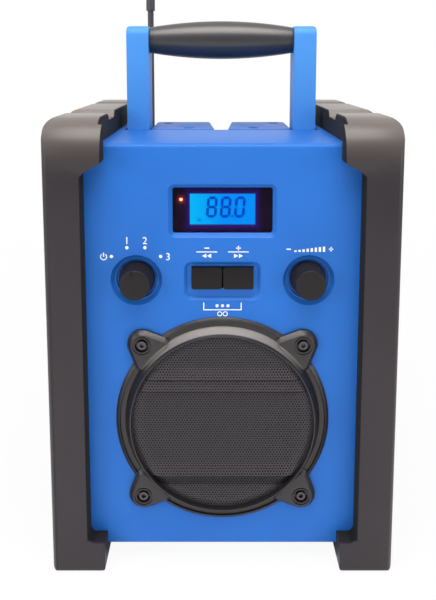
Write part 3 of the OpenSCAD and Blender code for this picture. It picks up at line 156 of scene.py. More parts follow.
floor_material = bpy.data.materials.new("floor")
floor_material.use_nodes = True
tree = floor_material.node_tree
shader = tree.nodes["Principled BSDF"]
shader.inputs["Base Color"].default_value = FLOOR_COLOUR
shader.inputs["Roughness"].default_value = FLOOR_ROUGHNESS
place = add_node(tree, "ShaderNodeTexCoord", {}, {}, "Object")
reach = add_node(tree, "ShaderNodeVectorMath", {"operation": "LENGTH"}, {0: place}, "Value")
ray = tree.nodes.new("ShaderNodeLightPath")
seen = Link(ray.outputs["Is Camera Ray"])
paper = add_node(tree, "ShaderNodeEmission", {}, {"Color": BACKDROP_COLOUR, "Strength": 1.0})
share = seen * (reach.clipped(PAPER_FROM, PAPER_TO) * (1 - FLOOR_PAPER) + FLOOR_PAPER)
mixed = add_node(tree, "ShaderNodeMixShader", {}, {0: share, 1: Link(shader.outputs[0]), 2: paper})
tree.links.new(mixed.socket, tree.nodes["Material Output"].inputs["Surface"])
floor_data.materials.append(floor_material)

world = bpy.data.worlds.new("studio")
world.use_nodes = True
scene.world = world
tree = world.node_tree
tree.nodes.clear()
ray = tree.nodes.new("ShaderNodeLightPath")
seen = (Link(ray.outputs["Is Camera Ray"])
        + Link(ray.outputs["Is Transmission Ray"])).clipped(0, 1)
mirrored = Link(ray.outputs["Is Glossy Ray"])
sky = add_node(tree, "ShaderNodeTexCoord", {}, {}, "Generated")
height = add_node(tree, "ShaderNodeVectorMath", {"operation": "DOT_PRODUCT"},
                  {0: sky, 1: UP_AND_BEHIND}, "Value").clipped(LOW_IN_FRONT, HIGH_BEHIND)
mirror_strength = height * (MIRRORED_HIGH - MIRRORED_LOW) + MIRRORED_LOW
strength = seen + (1 - seen) * (1 - mirrored) * AMBIENT + mirrored * mirror_strength
background = add_node(tree, "ShaderNodeBackground", {}, {"Color": BACKDROP_COLOUR,
                                                         "Strength": strength})
output = tree.nodes.new("ShaderNodeOutputWorld")
tree.links.new(background.socket, output.inputs["Surface"])


WHITE, WARM = (1.0, 1.0, 1.0), (1.0, 0.95, 0.9)


def add_lamp(name, place, target_z, size, power, colour=WHITE):
    """A soft rectangular lamp that shines at a height over the middle of the floor."""
    lamp_data = bpy.data.lights.new(name, "AREA")
    lamp_data.shape = "RECTANGLE"
    lamp_data.size, lamp_data.size_y = size
    lamp_data.energy = power
    lamp_data.color = colour
    lamp = bpy.data.objects.new(name, lamp_data)
    lamp.location = place
    beam = Vector((0, 0, target_z)) - Vector(place)
    lamp.rotation_euler = beam.to_track_quat("-Z", "Y").to_euler()
    scene.collection.objects.link(lamp)


add_lamp("key_lamp", place=(-1.6, -1.15, 0.7), target_z=0.14, size=(0.9, 0.9), power=12)
add_lamp("fill_lamp", place=(1.65, -1.1, 0.5), target_z=0.14, size=(1.0, 1.0), power=8)
add_lamp("top_lamp", place=(0, -0.42, 1.2), target_z=0.15, size=(0.9, 0.7), power=12.5,
         colour=WARM)


# ---------------------------------------------------------------- front and rear shell
# The two halves of the case, injection moulded in blue plastic with a fine spark texture. Their
# edges are softened, and they meet at a seam that runs round the body.
class Finish:
    """A material on Object coordinates, whose patterns are added one node at a time."""

    def __init__(self, name):
        self.material = bpy.data.materials.new(name)
        self.material.use_nodes = True
        self.tree = self.material.node_tree
        self.shader = self.tree.nodes["Principled BSDF"]
        self.coords = self.node("ShaderNodeTexCoord", {}, {}, "Object")

    def node(self, kind, settings, values, output=0):
        return add_node(self.tree, kind, settings, values, output)

    def put(self, name, value):
        if isinstance(value, Link):
            self.tree.links.new(value.socket, self.shader.inputs[name])
        else:
            self.shader.inputs[name].default_value = value

    def noise(self, size, detail=2.0, stretch=None):
        """Noise between 0 and 1 whose lumps are about size across, in metres."""
        place = self.coords
        if stretch:
            place = self.node("ShaderNodeMapping", {}, {"Vector": place, "Scale": stretch})
        return self.node("ShaderNodeTexNoise", {}, {"Vector": place, "Scale": 1 / size,
                                                    "Detail": detail})

    def axis(self, name):
        return self.node("ShaderNodeSeparateXYZ", {}, {"Vector": self.coords}, name)

    def mix(self, share, first, second):
        return self.node("ShaderNodeMix", {"data_type": "RGBA"}, {0: share, 6: first, 7: second},
                         output=2)

    def bump(self, height, depth):
        self.put("Normal", self.node("ShaderNodeBump", {}, {"Height": height, "Distance": depth,
                                                            "Strength": 1.0}))


DRIFT_SIZE = 60 * MM
# Where the mean of both noises turns from the darker to the paler tone
TONE_FROM, TONE_TO = 0.3, 0.75
SPECK_ROUGHNESS, DRIFT_ROUGHNESS = 0.16, 0.08


def moulded(name, colour, light_colour, roughness, grain, depth, gloss=0.25):
    """Moulded plastic: a fine spark texture, slow drifts of tone and slightly uneven gloss."""
    finish = Finish(name)
    drift = finish.noise(DRIFT_SIZE, 3.0)
    speck = finish.noise(grain, 3.0)
    share = (drift * 0.7 + speck * 0.3).clipped(TONE_FROM, TONE_TO)
    middle = (SPECK_ROUGHNESS + DRIFT_ROUGHNESS) / 2
    finish.put("Base Color", finish.mix(share, colour, light_colour))
    finish.put("Roughness", speck * SPECK_ROUGHNESS + drift * DRIFT_ROUGHNESS
               + (roughness - middle))
    finish.put("Specular IOR Level", gloss)
    finish.bump(speck, depth)
    return finish.material


def dress(material, *names):
    """Gives CAD nodes their material."""
    for name in names:
        for material_slot in nodes[name].material_slots:
            material_slot.material = material


def smooth_by_angle(mesh, degrees):
    for face in mesh.polygons:
        face.use_smooth = True
    mesh.set_sharp_from_angle(angle=math.radians(degrees))


def finish_piece(name, shape, material, body, slot, *replaced, sharp=35):
    """Turns a bmesh into a named piece that rides on its body."""
    mesh = bpy.data.meshes.new(name)
    shape.to_mesh(mesh)
    shape.free()
    mesh.materials.append(material)
    smooth_by_angle(mesh, sharp)
    piece = bpy.data.objects.new(name, mesh)
    scene.collection.objects.link(piece)
    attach(piece, body)
    if replaced:
        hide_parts(*replaced)


MERGE_REACH = 0.001 * MM
FLAT_ANGLE = math.radians(1)
EDGE_STEPS = 3


def softened(node_name, radius, corner=28):
    """A copy of a CAD node, merged, with every edge sharper than corner degrees rounded off."""
    shape = bmesh.new()
    shape.from_mesh(nodes[node_name].data)
    bmesh.ops.remove_doubles(shape, verts=shape.verts, dist=MERGE_REACH)
    bmesh.ops.dissolve_limit(shape, angle_limit=FLAT_ANGLE, verts=shape.verts,
                             edges=shape.edges)
    sharp = [edge for edge in shape.edges
             if edge.is_manifold and edge.calc_face_angle(0) > math.radians(corner)]
    bmesh.ops.bevel(shape, geom=sharp, offset=radius, offset_type="OFFSET", affect="EDGES",
                    segments=EDGE_STEPS, profile=0.5, material=-1, clamp_overlap=True)
    bmesh.ops.triangulate(shape, faces=[face for face in shape.faces if len(face.verts) > 4])
    return shape


BLUE, BLUE_LIGHT = linear(34, 105, 196), linear(41, 113, 204)
CASE_EDGE_R = 0.5 * MM
blue_plastic = moulded("blue_plastic", BLUE, BLUE_LIGHT, 0.44, 0.9 * MM, 0.04 * MM)

for half in ("front", "rear"):
    finish_piece(half + "_case", softened(half + "_shell", CASE_EDGE_R), blue_plastic, "chassis",
                 "blue_shell", half + "_shell")


# ---------------------------------------------------------------- side armours
# Two wraps of soft black rubber over a hard core, screwed to the case. Three thick bands with
# two grooves between them take the knocks, and the bottom runners stand on rubber pads. The tops
# carry a painted sheen of paler grey, and the walls that face the case are painted black and
# dull as painted shade.
CHARCOAL, CHARCOAL_LIGHT = linear(40, 35, 40), linear(48, 43, 48)
# The black of the painted shade on the walls that face the case
WALL_SHADE_BLACK = linear(12, 11, 14)
# The paler grey of the painted sheen on the tops, how much of it, and the heights over which it
# grows
TOP_SHEEN_GREY = linear(150, 140, 133)
TOP_SHEEN_SHARE = 0.5
TOP_SHEEN_FROM_Z, TOP_SHEEN_TO_Z = 248 * MM, 290 * MM
ARMOR_EDGE_R = 1.0 * MM
# The inner walls that get the painted shade: of the strip, of the brow that reaches in over it, and
# of the rail on the deck
STRIP_IN_X = 84.4 * MM
BROW_REACH = 12.4 * MM
BROW_LOW_Z, BROW_HIGH_Z = 254 * MM, 262 * MM
RAIL_IN_X = 74.5 * MM
RUNNER_TOP_Z, RUNNER_BLUR = 21 * MM, 1 * MM
RUNNER_LIP = 1.8 * MM
# Where each mask turns over: past the wall, in front of the face, and behind the armour's front
PAST_WALL_FROM, PAST_WALL_TO = 0.5 * MM, 0.9 * MM
PAST_FACE_FROM, PAST_FACE_TO = 0.4 * MM, 0.6 * MM
END_FROM, END_TO = 1.3 * MM, 1.1 * MM
face_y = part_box("front_shell")[0].y
armor_front_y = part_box("left_armor")[0].y

armor_rubber = Finish("armor_rubber")
drift = armor_rubber.noise(DRIFT_SIZE, 3.0)
speck = armor_rubber.noise(0.7 * MM, 3.0)
up = armor_rubber.axis("Z")
from_middle = armor_rubber.axis("Y").combine("ABSOLUTE", 0.0)
outside_face = from_middle.clipped(PAST_FACE_FROM - face_y, PAST_FACE_TO - face_y)
wall_x = (STRIP_IN_X - up.clipped(BROW_LOW_Z, BROW_HIGH_Z) * BROW_REACH
          + (1 - outside_face) * (RAIL_IN_X - STRIP_IN_X + BROW_REACH))
past_wall = armor_rubber.axis("X").combine("ABSOLUTE", 0.0) - wall_x
between_ends = 1 - from_middle.clipped(-armor_front_y - END_FROM, -armor_front_y - END_TO)
over_runner = (up + between_ends * RUNNER_LIP).clipped(RUNNER_TOP_Z, RUNNER_TOP_Z + RUNNER_BLUR)
# Painted shade: the walls that face the case, above the runners, are painted black and dull
painted_wall_shade = (1 - past_wall.clipped(PAST_WALL_FROM, PAST_WALL_TO)) * over_runner
tone = armor_rubber.mix((drift * 0.7 + speck * 0.3).clipped(TONE_FROM, TONE_TO), CHARCOAL,
                        CHARCOAL_LIGHT)
# Painted sheen: the tops are painted paler grey towards the top, where the light from above glances
# off them
top_sheen = up.clipped(TOP_SHEEN_FROM_Z, TOP_SHEEN_TO_Z)
tone = armor_rubber.mix(top_sheen * top_sheen * TOP_SHEEN_SHARE, tone, TOP_SHEEN_GREY)
armor_rubber.put("Base Color", armor_rubber.mix(painted_wall_shade, tone, WALL_SHADE_BLACK))
armor_rubber.put("Roughness", speck * 0.14 + drift * 0.08 + painted_wall_shade * 0.6 + 0.22)
armor_rubber.put("Specular IOR Level", 0.4)
armor_rubber.bump(speck, 0.03 * MM)
for side in ("left", "right"):
    finish_piece(side + "_side_armor", softened(side + "_armor", ARMOR_EDGE_R),
                 armor_rubber.material, "chassis", "armor", side + "_armor")

pad_rubber = moulded("pad_rubber", linear(34, 33, 34), linear(42, 41, 42), 0.8, 1.2 * MM,
                     0.06 * MM)
dress(pad_rubber, "rubber_feet", "shell_seal", "grille_gasket")


# ---------------------------------------------------------------- screws, pins and washers
# Zinc-plated screws with turned heads, ground steel pins and shafts, and nylon washers. The
# socket-head screws of the speaker ring are finished in black oxide.
STREAK_STRETCH = (1, 0.08, 1)
STREAK_DEPTH = 0.01 * MM
PATCH_SIZE = 8 * MM


def metal(name, colour, roughness, streak):
    """Worked metal: fine streaks and patches of gloss."""
    finish = Finish(name)
    lines = finish.noise(streak, 4.0, STREAK_STRETCH)
    patches = finish.noise(PATCH_SIZE)
    finish.put("Base Color", colour)
    finish.put("Metallic", 1.0)
    finish.put("Roughness", lines * 0.2 + patches * 0.12 + (roughness - 0.14))
    finish.bump(lines, STREAK_DEPTH)
    return finish.material


zinc = metal("zinc", linear(176, 178, 184), 0.34, 0.8 * MM)
steel = metal("ground_steel", linear(190, 190, 194), 0.24, 0.5 * MM)
black_oxide = metal("black_oxide", linear(92, 89, 94), 0.4, 0.8 * MM)
nylon = moulded("nylon", linear(208, 205, 196), linear(220, 218, 210), 0.5, 1 * MM, 0.03 * MM)
dress(zinc, "armor_screws", "case_screws", "bracket_screws", "handle_screws", "board_screws",
      "driver_screws")
dress(steel, "pivot_pins", "hinge_pins", "handle_rod", "mode_shaft", "volume_shaft")
dress(black_oxide, "ring_screws")
dress(nylon, "pivot_washers")


# ---------------------------------------------------------------- carry handle and brackets
# Two blue arms on steel pins beside moulded brackets, with a spindle-shaped rubber grip over a
# steel rod. The arms are a paler blue than the case.
BRACKET_EDGE_R = 0.7 * MM
ARM_EDGE_R = 0.8 * MM

for side in ("left", "right"):
    finish_piece(side + "_handle_bracket", softened(side + "_bracket", BRACKET_EDGE_R),
                 blue_plastic, "chassis", "blue_shell", side + "_bracket")
handle_plastic = moulded("handle_plastic", linear(68, 140, 219), linear(76, 148, 225), 0.46,
                         0.9 * MM, 0.04 * MM)
for side in ("left", "right"):
    finish_piece(side + "_arm", softened(side + "_handle_arm", ARM_EDGE_R), handle_plastic,
                 "carry_handle", "blue_handle", side + "_handle_arm")

grip_rubber = moulded("grip_rubber", linear(40, 39, 43), linear(48, 47, 51), 0.34, 0.8 * MM,
                      0.03 * MM, gloss=0.8)
dress(grip_rubber, "handle_grip")


# ---------------------------------------------------------------- speaker
# A moulded ring with four ears holds a domed, perforated steel grille. Behind it lie a ring of
# fibre board, the paper cone with its rubber roll, the pressed basket and the magnet.
SLOPE_IN_R, SLOPE_OUT_R = 58.6 * MM, 61.6 * MM
SLOPE_BLUR = 0.4 * MM
# Dust and a painted highlight lie on the slope inside the ring, from this high over the middle to
# its top
DUST_AND_SHEEN_FROM, DUST_AND_SHEEN_TO = 32 * MM, 58 * MM
DUST_AND_SHEEN_GREY = linear(150, 146, 144)
RING_EDGE_R = 0.35 * MM
RING_CORNER = 24
ring_low, ring_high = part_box("speaker_ring")
speaker_x = (ring_low.x + ring_high.x) / 2
speaker_z = (ring_low.z + ring_high.z) / 2

ring_plastic = Finish("ring_plastic")
drift = ring_plastic.noise(DRIFT_SIZE, 3.0)
speck = ring_plastic.noise(0.6 * MM, 3.0)
dust = ring_plastic.noise(0.9 * MM, 4.0)
out_x = ring_plastic.axis("X") - speaker_x
out_z = ring_plastic.axis("Z") - speaker_z
radius = (out_x * out_x + out_z * out_z).combine("POWER", 0.5)
on_slope = (radius.clipped(SLOPE_IN_R - SLOPE_BLUR, SLOPE_IN_R)
            * (1 - radius.clipped(SLOPE_OUT_R - SLOPE_BLUR, SLOPE_OUT_R)))
# Dust and painted highlight: the slope is painted pale grey in specks, on its upper arc only, where
# light from above falls
dust_and_sheen = on_slope * out_z.clipped(DUST_AND_SHEEN_FROM, DUST_AND_SHEEN_TO) * (dust * 0.5 + 0.55)
tone = ring_plastic.mix(drift * 0.7 + speck * 0.3, linear(26, 23, 26), linear(38, 35, 37))
ring_plastic.put("Base Color", ring_plastic.mix(dust_and_sheen, tone, DUST_AND_SHEEN_GREY))
ring_plastic.put("Roughness", speck * SPECK_ROUGHNESS + drift * DRIFT_ROUGHNESS
                 + dust_and_sheen * 0.3 + 0.22)
ring_plastic.put("Specular IOR Level", 0.6)
ring_plastic.bump(speck, 0.03 * MM)
finish_piece("speaker_bezel", softened("speaker_ring", RING_EDGE_R, RING_CORNER),
             ring_plastic.material, "chassis", "ring", "speaker_ring")

HOLE_PITCH = 1.75 * MM
HOLE_R = 0.55 * MM
CELL_SIDES = 6
CELL_MERGE_REACH = 0.05 * MM
SHEET_T = 0.5 * MM
PLAIN_EDGE = 1.2 * MM
RIM_T = 1.0 * MM
RIM_IN_R = 56.0 * MM
RIM_SETBACK = 0.08 * MM
RIM_STEPS = 96
RIB_RISE = 2.0 * MM
SHOULDER_R = 50.0 * MM
SHOULDER_FOOT_R = 56.8 * MM
# Heights over the middle in millimetres, and how far each line of a rib stands forward, as a share
UPPER_RIB = ((20.7, 0), (21.6, 1), (28, 0.2), (28.8, 1), (35.5, 0))
LOWER_RIB = ((-41.5, 0), (-34.2, 1), (-28, 0))
# Bands of painted highlight on the ribs' up-facing slopes, and of painted shade on the down-facing
# slopes and steps: from, to, how much and colour
BAND_BLUR = 0.8
RIB_HIGHLIGHT_GREY, RIB_SHADE_BLACK = linear(108, 103, 107), linear(10, 8, 10)
RIB_LIGHT_AND_SHADE_BANDS = ((21.4, 28.2, 0.2, RIB_HIGHLIGHT_GREY), (28.8, 36.0, 0.25, RIB_HIGHLIGHT_GREY),
                 (-34.4, -27.5, 0.1, RIB_HIGHLIGHT_GREY), (-42.0, -34.2, 0.8, RIB_SHADE_BLACK),
                 (19.6, 21.6, 0.9, RIB_SHADE_BLACK), (27.6, 29.2, 0.9, RIB_SHADE_BLACK))

grille_low, grille_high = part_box("speaker_grille")
grille_x = (grille_low.x + grille_high.x) / 2
grille_z = (grille_low.z + grille_high.z) / 2
grille_r = (grille_high.x - grille_low.x) / 2
sheet_y = grille_high.y - RIM_T
dome_rise = sheet_y - grille_low.y - RIB_RISE


def grille_rise(z, r):
    """How far the sheet stands forward of its rim: the dome, and the ribs pressed in it."""
    out = min(max((r - SHOULDER_R) / (SHOULDER_FOOT_R - SHOULDER_R), 0), 1)
    dome = math.sqrt(1 - out * out)
    rib = 0.0
    for lines in (UPPER_RIB, LOWER_RIB):
        for (z0, h0), (z1, h1) in zip(lines, lines[1:]):
            if z0 * MM <= z <= z1 * MM:
                rib = h0 + (h1 - h0) * (z / MM - z0) / (z1 - z0)
    return dome * (dome_rise + RIB_RISE * rib)


row_pitch = HOLE_PITCH * math.sqrt(3) / 2
rows = int(grille_r / row_pitch)
turn = Matrix.Rotation(math.pi / 2, 4, "X") @ Matrix.Rotation(math.pi / 6, 4, "Z")

# One row of six-sided cells is copied over the sheet, and each cell is inset to make its hole
row_of_cells = bmesh.new()
for column in range(-rows, rows + 1):
    bmesh.ops.create_circle(row_of_cells, cap_ends=True, segments=CELL_SIDES,
                            radius=HOLE_PITCH / math.sqrt(3),
                            matrix=Matrix.Translation((column * HOLE_PITCH, 0, 0)) @ turn)
row_mesh = bpy.data.meshes.new("hole_row")
row_of_cells.to_mesh(row_mesh)
row_of_cells.free()
row_mesh.transform(Matrix.Translation((0, 0, -rows * row_pitch)))
grille = bmesh.new()
for row in range(-rows, rows + 1):
    grille.from_mesh(row_mesh)
    aside = HOLE_PITCH / 2 if row % 2 else -HOLE_PITCH / 2
    row_mesh.transform(Matrix.Translation((aside, 0, row_pitch)))
bpy.data.meshes.remove(row_mesh)
bmesh.ops.remove_doubles(grille, verts=grille.verts, dist=CELL_MERGE_REACH)
outside = [face for face in grille.faces
           if face.calc_center_median().length > grille_r - PLAIN_EDGE]
bmesh.ops.delete(grille, geom=outside, context="FACES")
cells = list(grille.faces)
bmesh.ops.inset_individual(grille, faces=cells, thickness=HOLE_PITCH / 2 - HOLE_R,
                           use_even_offset=True)
bmesh.ops.delete(grille, geom=cells, context="FACES")
for vert in grille.verts:
    vert.co.y = -grille_rise(vert.co.z, vert.co.length)
bmesh.ops.solidify(grille, geom=list(grille.faces), thickness=SHEET_T)
bmesh.ops.recalc_face_normals(grille, faces=grille.faces)

# The plain rim that the ring clamps, turned round the sheet's edge
corners = [grille.verts.new((r, y, 0)) for r, y in (
    (RIM_IN_R, RIM_SETBACK), (grille_r, RIM_SETBACK), (grille_r, RIM_T), (RIM_IN_R, RIM_T))]
loop = [grille.edges.new(pair) for pair in zip(corners, corners[1:] + corners[:1])]
bmesh.ops.spin(grille, geom=corners + loop, cent=(0, 0, 0), axis=(0, 1, 0), dvec=(0, 0, 0),
               angle=math.tau, steps=RIM_STEPS, use_merge=True, use_duplicate=False)
bmesh.ops.remove_doubles(grille, verts=grille.verts, dist=MERGE_REACH)
bmesh.ops.recalc_face_normals(grille, faces=grille.faces)
bmesh.ops.translate(grille, verts=grille.verts, vec=(grille_x, sheet_y, grille_z))

grille_steel = Finish("grille_steel")
coat = grille_steel.noise(1.2 * MM, 3.0)
over_middle = grille_steel.axis("Z") - grille_z
tone = grille_steel.mix(coat, linear(58, 54, 60), linear(78, 74, 81))
# Painted highlight and painted shade, band by band over the ribs
for low, high, share, colour in RIB_LIGHT_AND_SHADE_BANDS:
    band = (over_middle.clipped(low * MM, (low + BAND_BLUR) * MM)
            * (1 - over_middle.clipped((high - BAND_BLUR) * MM, high * MM)))
    tone = grille_steel.mix(band * share, tone, colour)
grille_steel.put("Base Color", tone)
grille_steel.put("Roughness", coat * 0.2 + 0.24)
grille_steel.put("Specular IOR Level", 0.5)
grille_steel.bump(coat, 0.02 * MM)
finish_piece("perforated_grille", grille, grille_steel.material, "chassis", "grille",
             "speaker_grille", sharp=50)

# A ring of black fibre board behind the sheet, against the inside of the gasket
BOARD_IN_R, BOARD_OUT_R = 45.0 * MM, 51.9 * MM
BOARD_T = 1.0 * MM
BOARD_BEHIND = 1.5 * MM
BOARD_STEPS = 72
board_ring = bmesh.new()
corner = board_ring.verts.new((BOARD_IN_R, 0, 0))
far_corner = board_ring.verts.new((BOARD_OUT_R, 0, 0))
edge = board_ring.edges.new((corner, far_corner))
bmesh.ops.spin(board_ring, geom=[corner, far_corner, edge], cent=(0, 0, 0), axis=(0, 1, 0),
               dvec=(0, 0, 0), angle=math.tau, steps=BOARD_STEPS, use_merge=True,
               use_duplicate=False)
bmesh.ops.remove_doubles(board_ring, verts=board_ring.verts, dist=MERGE_REACH)
bmesh.ops.recalc_face_normals(board_ring, faces=board_ring.faces)
bmesh.ops.solidify(board_ring, geom=list(board_ring.faces), thickness=BOARD_T)
bmesh.ops.recalc_face_normals(board_ring, faces=board_ring.faces)
bmesh.ops.translate(board_ring, verts=board_ring.verts,
                    vec=(grille_x, grille_high.y + BOARD_BEHIND, grille_z))
fibre = moulded("fibre_board", linear(22, 21, 22), linear(30, 29, 30), 0.85, 1 * MM, 0.05 * MM)
finish_piece("baffle_ring", board_ring, fibre, "chassis", "cone")

basket_steel = metal("basket_steel", linear(46, 46, 48), 0.45, 2 * MM)
ferrite = moulded("ferrite", linear(58, 58, 60), linear(72, 72, 74), 0.6, 1.5 * MM, 0.1 * MM)
paper = moulded("cone_paper", linear(40, 39, 40), linear(54, 52, 52), 0.85, 1.2 * MM, 0.1 * MM)
dress(basket_steel, "speaker_basket")
dress(ferrite, "speaker_magnet")
dress(paper, "speaker_cone", "dust_cap")
dress(pad_rubber, "speaker_surround")


# ---------------------------------------------------------------- display
# A glossy black bezel behind a clear window, with a lit liquid crystal glass that runs from
# cyan on the left to blue in the middle and is level from there. Its dark segments read 88.0.
glass_low, glass_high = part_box("display_glass")
led_low, led_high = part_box("power_led")
display_x = (glass_low.x + glass_high.x) / 2
display_z = (glass_low.z + glass_high.z) / 2
led_x = (led_low.x + led_high.x) / 2
led_z = (led_low.z + led_high.z) / 2

BLACK = linear(0, 0, 0)

lens = Finish("window_acrylic")
film = lens.noise(20 * MM)
lens.put("Base Color", linear(30, 26, 40))
lens.put("Roughness", film * 0.05 + 0.04)
lens.put("Alpha", 0.06)
lens.put("Specular IOR Level", 0.2)
dress(lens.material, "window_lens")

# Round the lit glass the bezel catches its blue, and round the small lamp an amber glow
LIT_HALF_W, LIT_HALF_H = 20.2 * MM, 9.9 * MM
SPILL_REACH = 5.5 * MM
SPILL_BLUE = linear(34, 12, 112)
GLOW_FROM_R, GLOW_TO_R = 0.8 * MM, 4.2 * MM
GLOW_AMBER = linear(150, 40, 14)

bezel_paint = Finish("bezel_paint")
glow_x = bezel_paint.axis("X") - led_x
glow_z = bezel_paint.axis("Z") - led_z
glow_reach = (glow_x * glow_x + glow_z * glow_z).combine("POWER", 0.5)
glow = 1 - glow_reach.clipped(GLOW_FROM_R, GLOW_TO_R)
spill_x = (bezel_paint.axis("X") - display_x).combine("ABSOLUTE", 0.0) - LIT_HALF_W
spill_z = (bezel_paint.axis("Z") - display_z).combine("ABSOLUTE", 0.0) - LIT_HALF_H
spill = 1 - spill_x.combine("MAXIMUM", spill_z).clipped(0, SPILL_REACH)
halo = bezel_paint.mix(spill * spill, BLACK, SPILL_BLUE)
dust = bezel_paint.noise(3 * MM, 3.0)
bezel_paint.put("Base Color", bezel_paint.mix(dust, linear(20, 8, 30), linear(28, 12, 34)))
bezel_paint.put("Roughness", dust * 0.15 + 0.14)
bezel_paint.put("Emission Color", bezel_paint.mix(glow * glow, halo, GLOW_AMBER))
bezel_paint.put("Emission Strength", 1.0)
bezel_paint.put("Specular IOR Level", 0.05)
dress(bezel_paint.material, "display_bezel")

TINT_HALF_W = 20 * MM
TINT_STOPS = ((0.0, linear(0, 188, 255)), (0.45, linear(0, 154, 251)),
              (0.45, linear(0, 146, 253)))
lit_glass = Finish("lit_glass")
across = (lit_glass.axis("X") - display_x).clipped(-TINT_HALF_W, TINT_HALF_W)
cloud = lit_glass.noise(6 * MM)
lit = lit_glass.node("ShaderNodeValToRGB", {"stops": TINT_STOPS},
                     {"Fac": across + cloud * 0.1 - 0.05})
lit_glass.put("Base Color", BLACK)
lit_glass.put("Roughness", 0.3)
lit_glass.put("Emission Color", lit)
lit_glass.put("Emission Strength", 1.06)
lit_glass.put("Specular IOR Level", 0.0)
dress(lit_glass.material, "display_glass")
backlight = moulded("backlight", linear(228, 236, 240), linear(240, 245, 247), 0.6, 2 * MM,
                    0.02 * MM)
dress(backlight, "display_backlight")

CORE_AREA = 1.4 * MM * MM
led_lens = Finish("led_lens")
out_x = led_lens.axis("X") - led_x
out_z = led_lens.axis("Z") - led_z
core = 1 - (out_x * out_x + out_z * out_z).clipped(0, CORE_AREA)
led_lens.put("Base Color", linear(255, 150, 70))
led_lens.put("Roughness", 0.2)
led_lens.put("Emission Color", led_lens.mix(core, linear(255, 120, 40), linear(255, 226, 190)))
led_lens.put("Emission Strength", 1.6)
dress(led_lens.material, "power_led")

DIGIT_W = 6.6 * MM
DIGIT_H = 13.4 * MM
DIGIT_SLANT = math.tan(math.radians(4.5))
DIGIT_XS = (-10.0 * MM, -1.4 * MM, 7.4 * MM)
DIGIT_LOW = -5.7 * MM
POINT_X = 6.0 * MM
POINT_R = 0.85 * MM
ICON_X, ICON_Z = 8.3 * MM, 5.0 * MM
ICON_REACH, ICON_W = 1.4 * MM, 0.6 * MM
ICON_TOP_Z = 5.9 * MM
ICON_TOP_REACH, ICON_TOP_W = 0.8 * MM, 0.5 * MM
SEGMENT_W = 1.7 * MM
SEGMENT_GAP = 0.15 * MM
SEGMENT_LIFT = 0.06 * MM
SEGMENT_T = 0.03 * MM
# The segments that are dark in each digit, and where each segment starts and ends in it
SEGMENTS = {"8": "abcdefg", "0": "abcdef"}
SEGMENT_ENDS = {"a": ((0, 1), (1, 1)), "b": ((1, 1), (1, 0.5)), "c": ((1, 0.5), (1, 0)),
                "d": ((0, 0), (1, 0)), "e": ((0, 0.5), (0, 0)), "f": ((0, 1), (0, 0.5)),
                "g": ((0, 0.5), (1, 0.5))}


def flat_bar(shape, start, end, width, y):
    """A flat bar with pointed ends between two places on the face, given as x and z."""
    along = Vector(end) - Vector(start)
    corners = bmesh.ops.create_circle(shape, cap_ends=True, segments=6, radius=1)["verts"]
    half, reach = width / 2, along.length / 2
    outline = [(reach, 0), (reach - half, half), (half - reach, half), (-reach, 0),
               (half - reach, -half), (reach - half, -half)]
    turn = math.atan2(along.y, along.x)
    for vert, (a, b) in zip(corners, outline):
        vert.co = (a * math.cos(turn) - b * math.sin(turn), 0,
                   a * math.sin(turn) + b * math.cos(turn))
    middle = (Vector(start) + Vector(end)) / 2
    bmesh.ops.translate(shape, verts=corners, vec=(middle.x, y, middle.y))


def thicken(shape, depth):
    """Gives flat faces that lie across Y a thickness towards the front."""
    bmesh.ops.recalc_face_normals(shape, faces=shape.faces)
    grown = bmesh.ops.extrude_face_region(shape, geom=list(shape.faces), use_keep_orig=True)
    front = [item for item in grown["geom"] if isinstance(item, bmesh.types.BMVert)]
    bmesh.ops.translate(shape, verts=front, vec=(0, -depth, 0))
    bmesh.ops.recalc_face_normals(shape, faces=shape.faces)


ink_y = glass_low.y - SEGMENT_LIFT
digits = bmesh.new()
for digit_x, digit in zip(DIGIT_XS, "880"):
    for letter in SEGMENTS[digit]:
        ends = []
        for across_share, up_share in SEGMENT_ENDS[letter]:
            up = DIGIT_LOW + up_share * (DIGIT_H - SEGMENT_W) + SEGMENT_W / 2
            side = digit_x + across_share * (DIGIT_W - SEGMENT_W) + SEGMENT_W / 2
            ends.append(Vector((display_x + side + up * DIGIT_SLANT, display_z + up)))
        trim = (ends[1] - ends[0]).normalized() * SEGMENT_GAP
        flat_bar(digits, ends[0] + trim, ends[1] - trim, SEGMENT_W, ink_y)
for x, z, reach, width in (
        (display_x + POINT_X, display_z + DIGIT_LOW + POINT_R, POINT_R, 2 * POINT_R),
        (glass_low.x + ICON_X, glass_low.z + ICON_Z, ICON_REACH, ICON_W),
        (glass_low.x + ICON_X, glass_low.z + ICON_TOP_Z, ICON_TOP_REACH, ICON_TOP_W)):
    flat_bar(digits, (x - reach, z), (x + reach, z), width, ink_y)
thicken(digits, SEGMENT_T)

segment_ink = Finish("segment_ink")
fade = segment_ink.noise(10 * MM, 1.0)
segment_ink.put("Base Color", BLACK)
segment_ink.put("Roughness", 0.4)
segment_ink.put("Emission Color", segment_ink.mix(fade, linear(0, 66, 196), linear(0, 78, 208)))
segment_ink.put("Emission Strength", 1.0)
segment_ink.put("Specular IOR Level", 0.0)
finish_piece("display_digits", digits, segment_ink.material, "chassis", "display")


# ---------------------------------------------------------------- knobs and buttons
# Two tapered knobs with fine ribs round their sides, pushed on steel shafts, and two flat black
# buttons in one frame that is moulded in the blue of the case and closes its recess.
KNOB_BASE_R, KNOB_FRONT_R = 11.3 * MM, 9.4 * MM
